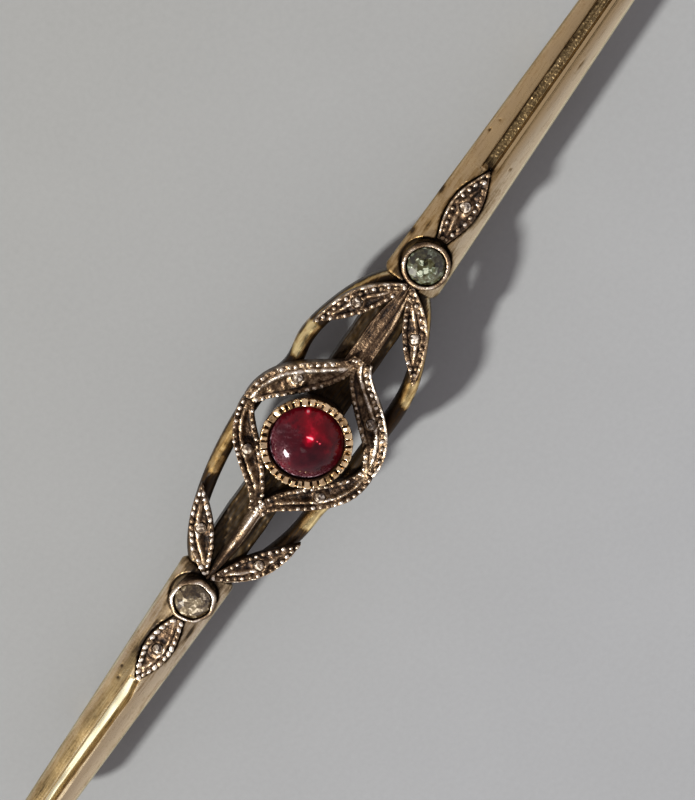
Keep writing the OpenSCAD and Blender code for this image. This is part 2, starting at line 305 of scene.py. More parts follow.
def cubic(ends, t):
    """A cubic curve: four points weighted by the cubic Bernstein terms of t."""
    p = np.asarray(ends, float)
    t = t[:, None]
    u = 1 - t
    return u**3 * p[0] + 3 * u**2 * t * p[1] + 3 * u * t**2 * p[2] + t**3 * p[3]


def lefts(line):
    """Unit vectors to the left of a path: its own steps turned a quarter turn."""
    left = np.gradient(line, axis=0)[:, ::-1] * (-1, 1)
    return left / np.linalg.norm(left, axis=1, keepdims=True)


def corners_of(centre, *rings):
    """The corners of rings round an upright axis, each given by its angles, its radius
    and its height, one ring after another."""
    return np.concatenate([turned(np.atleast_1d(a), r, z, centre) for a, r, z in rings])


def points_at(x, y, z):
    """Points from their three coordinates."""
    return np.stack(np.broadcast_arrays(x, y, z), -1)


def turned(angle, radius, height, centre=(0, 0)):
    """Points round an upright axis: its place plus (r cos a, r sin a), and a height."""
    return points_at(centre[0] + radius * np.cos(angle), centre[1] + radius * np.sin(angle), height)


def faces_of(*corners):
    """Faces from the numbers of their first corners, their second corners and so on."""
    return np.stack(np.broadcast_arrays(*corners), -1).reshape(-1, len(corners))


def with_foot(top, foot):
    """Each ring's values over its top and then those of its foot: a row for each ring, or
    one row for all."""
    return np.concatenate([top, np.broadcast_to(foot, (len(top), np.shape(foot)[-1]))], 1)


def tube(rings, wear_and_light=0.0, stain_and_shade=0.0, closed=False, ends=None):
    """A surface through rings of points, an array (rings, points, 3). Each point joins the
    next in its ring and its fellow in the next ring. A closed run joins its last ring to
    its first; an open one has a fan at each end, about the ring's middle or the point
    that ends gives."""
    n, k = rings.shape[:2]
    number = np.arange(n * k).reshape(n, k)
    beside = np.roll(number, -1, axis=1)
    quads = faces_of(number, beside, np.roll(beside, -1, axis=0), np.roll(number, -1, axis=0))
    points = rings.reshape(-1, 3)
    wear_and_light, stain_and_shade = (np.broadcast_to(value, (n, k)).reshape(-1) for value in (wear_and_light, stain_and_shade))
    if closed:
        return Shell(points, [quads], wear_and_light, stain_and_shade)
    points = np.concatenate([points, rings[[0, -1]].mean(1) if ends is None else ends])
    fans = [faces_of(n * k, beside[0], number[0]), faces_of(n * k + 1, number[-1], beside[-1])]
    wear_and_light, stain_and_shade = (np.append(value, value[[0, -1]]) for value in (wear_and_light, stain_and_shade))
    return Shell(points, [quads[: (n - 1) * k], *fans], wear_and_light, stain_and_shade)


def strip(line, halves, top, foot, corner=0.05, count=41):
    """A plate along a path. Across it s runs from 1 at the left edge to -1 at the right
    as the sine of an even angle. Its top is the height and wear that top(s, x, y) gives,
    less a quarter round of radius corner along both edges; its foot is flat, with
    bevelled edges."""
    s = np.sin(np.linspace(math.pi / 2, -math.pi / 2, count))
    half = halves[:, None]
    radius = np.minimum(corner, half)
    reach = np.concatenate([half * s, -half, radius - half, half - radius, half], 1)
    x, y = (line[:, :, None] + lefts(line)[:, :, None] * reach[:, None]).transpose(1, 0, 2)
    height, wear_and_light = top(s, x[:, :count], y[:, :count])
    inside = np.clip(radius - half * (1 - abs(s)), 0, None)
    height = height - radius + np.sqrt(np.clip(radius**2 - inside**2, 0, None))
    low_z = foot + radius * (1, 0, 0, 1)
    return tube(points_at(x, y, with_foot(height, low_z)), with_foot(wear_and_light, [0.15] * 4))


def lathe(profile, centre=(0, 0), steps=96, wobble=0.0, wear_and_light=0.5, stain_and_shade=0.0):
    """A profile of (radius, height) carried round an upright axis. It runs from inside to
    outside over its top and back below. Radii are multiplied by 1 + wobble."""
    r, z = np.asarray(profile, float).T
    grown = r * (1 + np.broadcast_to(wobble, steps))[:, None]
    return tube(turned(evenly(steps)[:, None], grown, z, centre), wear_and_light, stain_and_shade, closed=True)


def spaced(line, pitch):
    """Places a pitch apart along a line of points, and the level unit direction at each.
    The pitch is adjusted so that they fill the line evenly by arc length."""
    steps = np.linalg.norm(np.diff(line, axis=0), axis=1)
    gone = np.concatenate([[0], np.cumsum(steps)])
    count = max(1, int(round(gone[-1] / pitch)))
    at = (np.arange(count) + 0.5) * gone[-1] / count
    place = np.stack([np.interp(at, gone, c) for c in line.T], 1)
    way = np.stack([np.interp(at, gone, c) for c in np.gradient(line, axis=0).T], 1)
    way[:, 2] = 0
    return place, way / np.linalg.norm(way, axis=1, keepdims=True)


def crosswise(ways):
    """Level directions turned a quarter turn to the left."""
    return ways[:, [1, 0, 2]] * (-1, 1, 0)


def grains(places, ways, sizes, bright, seed):
    """Beads: one faceted ball for each place, turned at random and drawn out to its half
    sizes along its way, across it and up. Wear rises to its top."""
    polar = np.linspace(math.pi, 0, BEAD_LEVELS + 1)[1:-1, None]
    rings = turned(evenly(BEAD_SIDES), np.sin(polar), np.cos(polar))
    ball = tube(rings, ends=((0, 0, -1), (0, 0, 1)))
    n = len(places)
    random = np.random.default_rng(seed)
    spin = random.uniform(0, math.pi / 4, (n, 1))
    x, y, z = ball.points.T
    local = points_at(x * np.cos(spin) - y * np.sin(spin), x * np.sin(spin) + y * np.cos(spin), z)
    axes = np.stack([ways, crosswise(ways), np.broadcast_to((0, 0, 1.0), (n, 3))], 1)
    points = places[:, None] + (local * np.broadcast_to(sizes, (n, 3))[:, None]) @ axes
    shift = (np.arange(n) * len(z))[:, None, None]
    own = random.uniform(0.45, 1, n)[:, None]
    wear_and_light = (0.3 + 0.7 * smooth(z, -0.1, 0.8)) * own * bright
    faces = [(rows + shift).reshape(-1, rows.shape[1]) for rows in ball.faces]
    return Shell(points.reshape(-1, 3), faces, wear_and_light.reshape(-1), flat=True)


# The painted wear and stain also carry painted highlights, glow and shade.
def put(name, shells, material, slot, *nodes):
    """Puts shells into one mesh object in metres, paints its wear and stain, held from 0
    to 1, and hands it to the frame: it rides on the brooch and stands for the nodes.
    The slot is not used."""
    faces, rounded, shift = [], [], 0
    for shell in shells:
        for rows in shell.faces:
            faces += (rows + shift).tolist()
            rounded += [not shell.flat] * len(rows)
        shift += len(shell.points)
    points = np.concatenate([shell.points for shell in shells]) * MM
    mesh = bpy.data.meshes.new(name)
    mesh.from_pydata(points.tolist(), [], faces)
    for value in ("wear_and_light", "stain_and_shade"):
        painted = np.clip(np.concatenate([getattr(shell, value) for shell in shells]), 0, 1)
        rows = mesh.attributes.new(value, "FLOAT", "POINT").data
        rows.foreach_set("value", painted.astype(np.float32))
    mesh.polygons.foreach_set("use_smooth", rounded)
    mesh.materials.append(material)
    mesh.validate()
    piece = bpy.data.objects.new(name, mesh)
    bpy.context.scene.collection.objects.link(piece)
    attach(piece, "root")
    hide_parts(*nodes)


# Materials


class Value:
    """What comes out of a node. Each sum done on it adds a node."""

    def __init__(self, nodes, node, out):
        self.nodes = nodes
        self.node = node
        self.out = out

    def part(self, out):
        """Something else that comes out of the same node."""
        return Value(self.nodes, self.node, out)

    def maths(self, operation, other):
        """A sum of this and another value or a number."""
        return self.nodes.add("Math", {0: self, 1: other}, operation=operation)

    def __add__(self, other):
        return self.maths("ADD", other)

    def __sub__(self, other):
        return self.maths("SUBTRACT", other)

    def __mul__(self, other):
        return self.maths("MULTIPLY", other)

    def held(self):
        """The same sum, held from 0 to 1."""
        self.node.use_clamp = True
        return self

    def ranged(self, low, high, to_low=0, to_high=1):
        """Carried from one range to another, and held there."""
        return self.nodes.add("MapRange", {0: self, 1: low, 2: high, 3: to_low, 4: to_high})

    def ramp(self, stops):
        """A colour for each value, from stops of (position, colour)."""
        made = self.nodes.add("ValToRGB", {0: self})
        elements = made.node.color_ramp.elements
        while len(elements) < len(stops):
            elements.new(0.5)
        for element, (position, colour) in zip(elements, stops):
            element.position = position
            element.color = (*colour, 1)
        return made

    def bump(self, depth, strength):
        """A surface normal from a height; depth is that height's size in millimetres."""
        return self.nodes.add("Bump", {"Height": self, "Distance": depth * MM, "Strength": strength})


class Nodes:
    """The nodes of a material or of the sky. Each function adds one or two of them."""

    def __init__(self, owner):
        self.owner = owner
        owner.use_nodes = True
        self.tree = owner.node_tree
        self.tree.nodes.clear()

    def add(self, kind, inputs=None, out=0, **settings):
        """Adds a node, sets its options, and fills each input with a value or a link."""
        node = self.tree.nodes.new("ShaderNode" + kind)
        for key, value in settings.items():
            setattr(node, key, value)
        for key, value in (inputs or {}).items():
            socket = node.inputs[key]
            if isinstance(value, Value):
                self.tree.links.new(value.node.outputs[value.out], socket)
            else:
                socket.default_value = (*value, 1) if socket.type == "RGBA" else value
        return Value(self, node, out)

    def place(self, *stretch):
        """The piece's own coordinates in millimetres, stretched along its axes."""
        scale = tuple(part / MM for part in stretch or (1, 1, 1))
        where = self.add("TexCoord", out="Object")
        return self.add("VectorMath", {0: where, 1: scale}, operation="MULTIPLY")

    def parts(self, place):
        """The three coordinates of a place."""
        split = self.add("SeparateXYZ", {0: place})
        return split, split.part(1), split.part(2)

    def noise(self, place, size, detail, rough=0.55):
        """Noise whose features are about size millimetres across."""
        inputs = {"Vector": place, "Scale": 1 / size, "Detail": detail, "Roughness": rough}
        return self.add("TexNoise", inputs, "Fac")

    def painted(self, name):
        """A value painted on the points of the mesh."""
        return self.add("Attribute", out="Fac", attribute_name=name)

    def mix(self, factor, a, b, blend="MIX"):
        """Two colours mixed by a factor."""
        return self.add("Mix", {0: factor, 6: a, 7: b}, 2, data_type="RGBA", blend_type=blend)

    def shade(self, inputs):
        """Ends a material in one Principled shader with these inputs, and returns it."""
        self.add("OutputMaterial", {"Surface": self.add("BsdfPrincipled", inputs)})
        return self.owner


def worn_gold(finish, name, warm):
    """Satin yellow gold: long faint draw lines, pits, brown tarnish and painted shade where it
    is stained, and a polish, which also makes painted highlights, where it is worn. It
    deepens from left to right, its near flank is greyer, the left arm has painted shade
    beyond its groove and a tint on its inner half, and between the arms it takes the warm
    tint."""
    nodes = Nodes(bpy.data.materials.new(name))
    place = nodes.place()
    wear_and_light, stain_and_shade = nodes.painted("wear_and_light"), nodes.painted("stain_and_shade")
    cloud = nodes.noise(place, 1.6, 4)
    fine = nodes.noise(place, 0.13, 4, 0.65)
    drawn = nodes.noise(nodes.place(0.7, 9, 5), 1.0, 4, 0.6)
    streak = drawn.ranged(0.35, 0.75, -0.5, 0.5) * (stain_and_shade * 0.3 + 0.34)
    dirt_and_shade = (stain_and_shade + streak + fine.ranged(0.3, 0.75, -0.1, 0.14)).held()
    along, across, _ = nodes.parts(place)
    depth = along.ranged(-14, 8, 0, 0.8) + cloud.ranged(0.3, 0.7, 0, 0.25)
    metal = nodes.mix(depth, finish.gold, finish.gold_deep)
    flank = across.ranged(-0.9, -0.45, 1, 0) * across.ranged(-2.05, -1.9)
    flank = flank * along.ranged(-12, 12, 0.5, 0.9)
    metal = nodes.mix(flank, metal, finish.gold_flank)
    metal = nodes.mix(wear_and_light * 0.9, metal, finish.gold_polished)
    # Painted shade on the left arm's far face beyond the groove
    far_face_shade = across.ranged(0.42, 0.54) * across.ranged(0.95, 1.35, 1, 0)
    far_face_shade = far_face_shade * along.ranged(-17, -14, 1, 0)
    near_left = along.ranged(-20, -16) * along.ranged(-11, -9, 1, 0)
    middle = along.maths("ABSOLUTE", 0).ranged(9.6, 10.2, 1, 0)
    for share, tint in ((far_face_shade, FAR_SHADE_TINT), (near_left, LEFT_TINT), (middle, warm)):
        metal = nodes.mix(share, metal, tint, "MULTIPLY")
    tarnish = finish.gold_tarnish
    deepest = [part * 0.3 for part in tarnish]
    stops = ((0, (1, 1, 1)), (0.3, (0.62, 0.55, 0.45)), (0.65, tarnish), (1, deepest))
    relief = (drawn + fine * 0.7) * wear_and_light.ranged(0, 1, 1, 0.2)
    return nodes.shade({
        "Base Color": nodes.mix(1.0, metal, dirt_and_shade.ramp(stops), "MULTIPLY"),
        "Metallic": dirt_and_shade.ranged(0.5, 1, 1, 0.6),
        "Roughness": cloud.ranged(0.3, 0.7, 0.22, 0.3) - wear_and_light * 0.06 + dirt_and_shade * 0.2,
        "Normal": relief.bump(0.014, 0.6),
    })


def old_silver(context):
    """Old silver: dark brown where wear is low, through a warm brown sheen to a pinkish
    polish where it is high, with fine dents all over. It is made once."""
    if "old silver" in bpy.data.materials:
        return bpy.data.materials["old silver"]
    finish = context.scene.brooch_finish
    nodes = Nodes(bpy.data.materials.new("old silver"))
    place = nodes.place()
    cloud = nodes.noise(place, 0.6, 3)
    fine = nodes.noise(place, 0.11, 3, 0.6)
    level = nodes.painted("wear_and_light") + cloud.ranged(0.28, 0.72, -0.16, 0.16)
    level = (level + fine.ranged(0.3, 0.7, -0.16, 0.16)).held()
    stops = (
        (0, finish.silver_dark), (0.3, finish.silver_brown),
        (0.62, finish.silver_warm), (0.95, finish.silver_bright),
    )
    return nodes.shade({
        "Base Color": level.ramp(stops),
        "Metallic": level.ranged(0, 0.3, 0.75, 1),
        "Roughness": level.ranged(0, 1, 0.52, 0.32),
        "Normal": (fine + nodes.noise(place, 0.3, 2) * 1.6).bump(0.045, 0.9),
    })


def red_glass(finish):
    """The red stone: painted violet shade on its dark side, painted crimson glow where light
    gathers in it, and a scuffed lilac band at its edge. Its first painted value is that
    painted glow and shade, how bright it is; its second is how scuffed it is, with a
    painted lilac highlight beside its glint."""
    nodes = Nodes(bpy.data.materials.new("red stone"))
    place = nodes.place()
    glow, scuff_and_glint = nodes.painted("wear_and_light"), nodes.painted("stain_and_shade")
    veil = nodes.noise(place, 0.7, 4, 0.6)
    level = (glow + veil.ranged(0.3, 0.7, -0.13, 0.13)).held()
    body = level.ramp((
        (0, (0.016, 0.002, 0.004)), (0.28, finish.stone_dark), (0.58, finish.stone_red),
        (0.85, finish.stone_bright), (1, (1, 0.5, 0.56)),
    ))
    flecks = nodes.noise(place, 0.12, 4, 0.7)
    rub_and_glint = (scuff_and_glint * (flecks.ranged(0.42, 0.6) + scuff_and_glint.ranged(0.8, 1))).held()
    lilac = scuff_and_glint.ramp(((0.55, (0.27, 0.13, 0.15)), (1, (0.86, 0.68, 0.78))))
    return nodes.shade({
        "Base Color": nodes.mix(rub_and_glint, body, lilac),
        "Roughness": rub_and_glint.ranged(0, 1, 0.06, 0.42),
        "IOR": 1.6,
        "Specular IOR Level": 0.14,
        "Normal": veil.bump(0.03, 0.4),
    })


def old_diamond(name):
    """An old-cut stone: a mosaic of painted reflections from dark to pale, as its facets mix
    what they reflect, their borders drawn out of true, under a glassy skin. It is paler
    where its first painted value, a painted light, is high."""
    size, stops = DIAMONDS[name]
    nodes = Nodes(bpy.data.materials.new(name))
    place = nodes.place()
    drift = nodes.add("TexNoise", {"Vector": place, "Scale": 0.7 / size, "Detail": 2.0}, "Color")
    bent = nodes.add("VectorMath", {0: drift, 1: (0.9 * size,) * 3, 2: place}, operation="MULTIPLY_ADD")
    inputs = {"Vector": bent, "Scale": 1 / size, "Randomness": 1.0}
    pick = nodes.add("SeparateColor", {0: nodes.add("TexVoronoi", inputs, "Color", feature="F1")})
    cloud = nodes.noise(bent, size * 0.6, 3, 0.6)
    level = pick + cloud.ranged(0.3, 0.7, -0.35, 0.35)
    level = (level + nodes.painted("wear_and_light").ranged(0, 1, -0.4, 0.4)).held()
    return nodes.shade({"Base Color": level.ramp(stops), "Roughness": 0.2, "IOR": 1.65, "Metallic": 0.1})


def pin_gold(finish):
    """Plain drawn gold, cloudy with a thin tarnish."""
    nodes = Nodes(bpy.data.materials.new("pin gold"))
    cloud = nodes.noise(nodes.place(), 0.9, 4)
    drawn = nodes.noise(nodes.place(0.4, 5, 5), 0.8, 3)
    tarnish = [0.5 * (a + b) for a, b in zip(finish.gold_tarnish, finish.gold_deep)]
    return nodes.shade({
        "Base Color": nodes.mix(cloud.ranged(0.35, 0.7), finish.gold_deep, tarnish),
        "Metallic": 1,
        "Roughness": cloud.ranged(0.3, 0.7, 0.26, 0.42),
        "Normal": drawn.bump(0.01, 0.5),
    })


def floor_paper(studio):
    """A pale grey sheet with a very faint cloudiness, warmer on the brooch's far side."""
    nodes = Nodes(bpy.data.materials.new("pale floor"))
    place = nodes.place()
    value = nodes.noise(place, 14, 3) * 0.5 + nodes.noise(place, 0.35, 2) * 0.5
    pale = nodes.mix(nodes.parts(place)[1].ranged(-22, 22), studio.floor, studio.floor_warm)
    shade = value.ramp(((0.3, (0.92,) * 3), (0.7, (1, 1, 1))))
    return nodes.shade({"Base Color": nodes.mix(1.0, pale, shade, "MULTIPLY"), "Roughness": 0.9})


# Properties


def length(name, description, default_mm):
    """A length property that is given in millimetres here and shown in the scene's unit."""
    default = default_mm * MM
    return FloatProperty(
        name=name, description=description, default=default, unit="LENGTH", precision=5, min=0,
    )


def colour(name, description, default):
    """A colour property."""
    return FloatVectorProperty(
        name=name, description=description, default=default, subtype="COLOR", size=3, min=0, max=1,
    )


class BroochSizes(bpy.types.PropertyGroup):
    """Sizes of the worked detail that the frame leaves open."""

    bead: length("Bead", "Diameter of the beads on ribbons and leaves", 0.28)
    bead_pitch: length("Bead pitch", "Distance from bead to bead", 0.42)
    bow_crown: length("Bow crown", "How far a bow's middle stands over its sides", 0.5)
    crest_height: length("Crest", "Height of the crest along a ribbon or leaf", 0.08)
    hollow_depth: length("Hollow", "Depth of the hollow beside that crest", 0.14)
    cut_depth: length("Cut", "Depth of the thin cuts beside the beads", 0.09)
    bezel_grains: IntProperty(
        name="Bezel grains", description="Number of teeth in the rim round the red stone",
        default=36, min=24, max=60,
    )


class BroochFinish(bpy.types.PropertyGroup):
    """Colours of the metals and stones."""

    gold: colour("Gold", "Clean gold, palest at the left end", (0.61, 0.49, 0.315))
    gold_deep: colour("Deep gold", "Gold at the right end and where it is cloudy", (0.53, 0.385, 0.2))
    # Polished gold also colours the painted highlights on the bar
    gold_polished: colour("Polished gold", "Gold where it is rubbed bright", (0.97, 0.9, 0.6))
    gold_flank: colour("Flank gold", "Greyer gold of the bar's near side", (0.56, 0.48, 0.335))
    gold_warm: colour("Bow tint", "Tint of the bows' gold", (1, 0.89, 0.66))
    gold_bezel: colour("Bezel tint", "Tint of the bezel's gold", (1, 0.82, 0.74))
    # The tarnish also colours the painted shade on the bar
    gold_tarnish: colour("Tarnish", "Brown that clings to the gold", (0.1, 0.076, 0.05))
    silver_dark: colour("Silver in hollows", "Silver blackened in its hollows", (0.012, 0.007, 0.005))
    silver_brown: colour("Brown silver", "Silver under brown patina", (0.118, 0.073, 0.043))
    silver_warm: colour("Warm silver", "Silver rubbed half clean", (0.38, 0.27, 0.165))
    silver_bright: colour("Bright silver", "Silver rubbed clean", (0.96, 0.87, 0.74))
    # The red stone's painted shade, its body colour and its painted glow
    stone_dark: colour("Stone shade", "The red stone's dark side", (0.042, 0.003, 0.006))
    stone_red: colour("Stone red", "The red stone's body", (0.2, 0.003, 0.01))
    stone_bright: colour("Stone light", "The red stone where light gathers", (0.78, 0.012, 0.045))


class BroochStudio(bpy.types.PropertyGroup):
    """The floor and the lights."""

    floor: colour("Floor", "The pale floor on the brooch's near side", (0.273, 0.281, 0.289))
    floor_warm: colour("Warm floor", "The pale floor on its far side", (0.262, 0.267, 0.26))
    key_strength: FloatProperty(
        name="Key light", description="Strength of the main light", default=6.2, min=0,
    )
    key_softness: FloatProperty(
        name="Key softness", description="Angle that the main light spans",
        default=math.radians(4.5), min=0, subtype="ANGLE",
    )
    sky_strength: FloatProperty(
        name="Fill", description="Strength of the light from all round", default=1.0, min=0,
    )


# The gold bar


def pocket_distance(x, y):
    """How far a point of an arm lies outside the seats of collet, sprig and stem: the
    least of the distance from the collet's circle and, along sprig and stem, the distance
    across their edges."""
    collet = np.hypot(x - COLLET_X, y) - COLLET_RADIUS - 0.03
    t = np.clip((x - SPRIG_ROOT) / (SPRIG_TIP - SPRIG_ROOT), 0, 1)
    beyond = np.maximum(x - SPRIG_TIP - 0.03, SPRIG_ROOT - 0.2 - x)
    sprig = np.maximum(abs(y) - swelling(t, *SPRIG_HALVES) - 0.02, beyond)
    stem = np.maximum(abs(y) - STEM_SEAT_HALF, x - COLLET_X)
    return np.minimum(np.minimum(collet, sprig), stem)


def right_groove(x, y, half, mouth):
    """The right arm's groove: how deep it cuts, its stain with painted shade, and its wear.
    Across it, a bevel of even slope drops steeply to a gritty floor that is dark along its
    far edge with dirt and painted shade."""
    bevel = np.clip((y + 0.36) / 0.2, 0, 1)
    wall = (0.27 * bevel + 0.73 * smooth(y, -0.17, -0.04)) * smooth(y, 0.57, 0.44)
    floor = smooth(y, -0.1, 0) * smooth(y, 0.5, 0.4) * mouth
    grit = 0.5 * uneven(x, y, (0.12, 0.1), 14) + 0.6 * uneven(x, y, 0.06, 19)
    stain_and_shade = (0.47 + 0.11 * grit) * floor + 0.12 * hump(y, half, 0.3)
    # Dirt and painted shade on the steep far wall, and a thin dark line at the bevel's outer edge
    stain_and_shade += (0.8 * hump(y, 0.5, 0.07) + 0.4 * hump(y, -0.38, 0.02)) * mouth
    return GROOVE_DEPTH * wall * mouth - 0.028 * grit * floor, stain_and_shade, 0.24 * floor


def left_groove(x, y, half, mouth, patch, fine):
    """The left arm's groove: how deep it cuts, its stain with painted shade, and its wear with
    a painted highlight. It drifts across the arm, sags a little in its middle by a square,
    and is polished within, the polish laid as a painted highlight. A brown line of tarnish
    and painted shade runs along its near side. Beyond it the face is stained and painted
    darker, more and more outwards, and in patches where the arm begins."""
    drift = 0.025 * np.clip(x - 19, -2.5, 8) + 0.2 * smooth(x, SPRIG_TIP + 1.5, SPRIG_TIP)
    stray = 0.05 * uneven(x, 0 * y, 0.7, 21)
    wall = np.clip((y - drift + 0.43) / 0.26, 0, 1) * smooth(y, 0.46, 0.32) * mouth
    sag = 0.42 + 0.02 * (1 - (y / GROOVE_HALF) ** 2) - 0.005 * uneven(x, -y, (1.1, 0.3), 19)
    # A brown line along the near side: tarnish and painted shade of the groove's wall
    stain_and_shade = (0.34 + 0.24 * fine) * hump(y - drift, -0.33 + stray, 0.11) * mouth
    stain_and_shade += 0.3 * hump(y, 0.52, 0.05) * smooth(x, 22, 19) * mouth
    stain_and_shade += 0.12 * smooth(x, 18.5, 15) * smooth(y, -0.5, 0.8) * patch
    # Stain and painted shade on the far face, growing outwards
    face = smooth(y, 0.3, 0.7) * (1 - 0.5 * smooth(y, half - 0.5, half - 0.1))
    stain_and_shade += face * (0.07 + 0.1 * patch + 0.2 * smooth(x, 14.5, 17.5) + 0.14 * smooth(x, 20, 23))
    stain_and_shade += 0.12 * smooth(-y, half - 0.45, half - 0.1)
    # Polish within the groove, laid as a painted highlight
    polished = smooth(y - drift + stray, -0.23, -0.12) * smooth(y, 0.44, 0.34)
    return sag * wall, stain_and_shade, wall * polished


def arm(side):
    """One arm. Rings run out along it; across a ring the top is a roof with a groove.
    The half width narrows evenly and is rounded at both ends. Height is the ridge less
    the slope times the distance beyond the groove, plus a low sine between groove and
    edge, less the groove, sunk just below the core's top in the seats of collet, sprig
    and stem, with a quarter round along its edges."""
    right = side > 0
    seed = 11 if right else 12
    ends = 0.12 * np.linspace(0, 1, 7) ** 1.5
    x = np.concatenate([
        SHOULDER_X + ends[:-1],
        np.linspace(SHOULDER_X + ends[-1], FINE_FROM, 130)[:-1],
        np.linspace(FINE_FROM, BAR_END - ends[-1], OUTER_RINGS[side])[:-1],
        BAR_END - ends[::-1],
    ])[:, None]
    half = SHOULDER_HALF + (END_HALF - SHOULDER_HALF) * (x - SHOULDER_X) / (BAR_END - SHOULDER_X)
    for corner, inwards in ((SHOULDER_CORNERS[side], x - SHOULDER_X), (END_CORNER, BAR_END - x)):
        missing = np.clip(corner - inwards, 0, corner)
        half = half - corner + np.sqrt(corner**2 - missing**2)
    inner = np.linspace(0, EVEN_HALF, 25)
    outer = EVEN_HALF + (half - EVEN_HALF) * (1 - (1 - np.linspace(0, 1, 19)[1:]) ** 1.7)
    beyond = np.concatenate([np.broadcast_to(inner, (len(x), len(inner))), outer], 1)
    across = np.concatenate([beyond[:, :0:-1], -beyond], 1)
    beyond = np.clip(abs(across) - GROOVE_HALF, 0, None)
    roof = RIDGE - ROOF_SLOPE * beyond + 0.014 * uneven(x, across, (1.7, 0.6), seed)
    roof += 0.06 * np.sin(math.pi * np.clip(beyond / (half - GROOVE_HALF), 0, 1))
    roof -= 0.025 * hump(across, -0.38, 0.028) * right
    mouth = smooth(x, SPRIG_TIP - 0.15, SPRIG_TIP + 0.25)
    patch = 0.5 + 0.5 * uneven(x, across, (0.9, 0.35), seed + 5)
    fine = 0.5 + 0.5 * uneven(x, across, (0.3, 0.12), seed + 6)
    if right:
        cut, stain_and_shade, wear_and_light = right_groove(x, across, half, mouth)
    else:
        cut, stain_and_shade, wear_and_light = left_groove(x, -across, half, mouth, patch, fine)
    away = pocket_distance(x, across)
    lip = hump(away, 0.14, 0.09) * smooth(roof, CORE_TOP + 0.1, CORE_TOP + 0.3)
    height = roof - cut + SEAT_LIPS[side] * lip
    seated = smooth(away, 0.07, 0)
    height = height * (1 - seated) + np.minimum(CORE_TOP - 0.1, height) * seated
    marks = 0 * height
    for place_x, place_y, size_x, size_y, depth in ARM_MARKS:
        if place_x * side > 0:
            spot = hump(x, abs(place_x), size_x) * hump(across, side * place_y, size_y)
            height -= depth * spot
            marks = np.maximum(marks, spot)
    edge = np.minimum(half - abs(across), np.minimum(x - SHOULDER_X, BAR_END - x))
    radius = 0.13 + 0.14 * smooth(x, SHOULDER_X + 0.8, SHOULDER_X)
    inside = np.clip(radius - edge, 0, radius)
    height = height - radius + np.sqrt(radius**2 - inside**2)
    stain_and_shade += 0.95 * hump(away, 0, 0.12) + 0.45 * hump(away, 0, 0.4) * patch + 0.8 * marks
    stain_and_shade += SEAT_STAINS[side] * smooth(x, SPRIG_TIP + 2.5, SPRIG_TIP - 2) * patch * fine
    off_shoulder = smooth(x, SHOULDER_X + 0.3, SHOULDER_X + 0.8)
    stain_and_shade += 0.4 * (1 - off_shoulder) * (0.5 + 0.5 * patch)
    # Rubbing and a painted highlight along the rounded edges past the shoulder, fainter on the right arm's
    # far side
    wear_and_light += (0.6 - 0.5 * (across > 0) * right) * hump(edge, 0.06, 0.07) * off_shoulder
    low = (half - (0.05, 0.2, 0.46, 0.46, 0.2, 0.05)) * (-1, -1, -1, 1, 1, 1)
    z = with_foot(height, UNDERSIDE + np.array([0.65, 0.28, 0, 0, 0.28, 0.65]))
    rings = points_at(side * x, side * with_foot(across, low), z)
    return tube(rings, with_foot(wear_and_light, [0.1] * 6), with_foot(stain_and_shade, [0.25] * 6))


def core():
    """The plain bar under the stone: a rounded oblong section carried along X."""
    x = np.linspace(-SHOULDER_X - 0.4, SHOULDER_X + 0.4, 260)
    halves = CORE_HALF + 0.03 * uneven(x, 0 * x, 0.8, 21)

    def top(s, x, y):
        worked = 0.03 * uneven(x, y, (0.4, 0.12), 22) + 0.02 * uneven(x, y, 0.2, 25)
        return CORE_TOP - 0.05 + worked, 0.3 + 0.3 * uneven(x, y, (0.6, 0.15), 23)

    shell = strip(np.stack([x, 0 * x], 1), halves, top, UNDERSIDE, corner=0.16)
    x, y = shell.points[:, 0], shell.points[:, 1]
    shell.stain_and_shade = 1 + 0.1 * uneven(x, y, (0.7, 0.3), 24) + 0.08 * uneven(x, y, (0.25, 0.1), 26)
    return shell


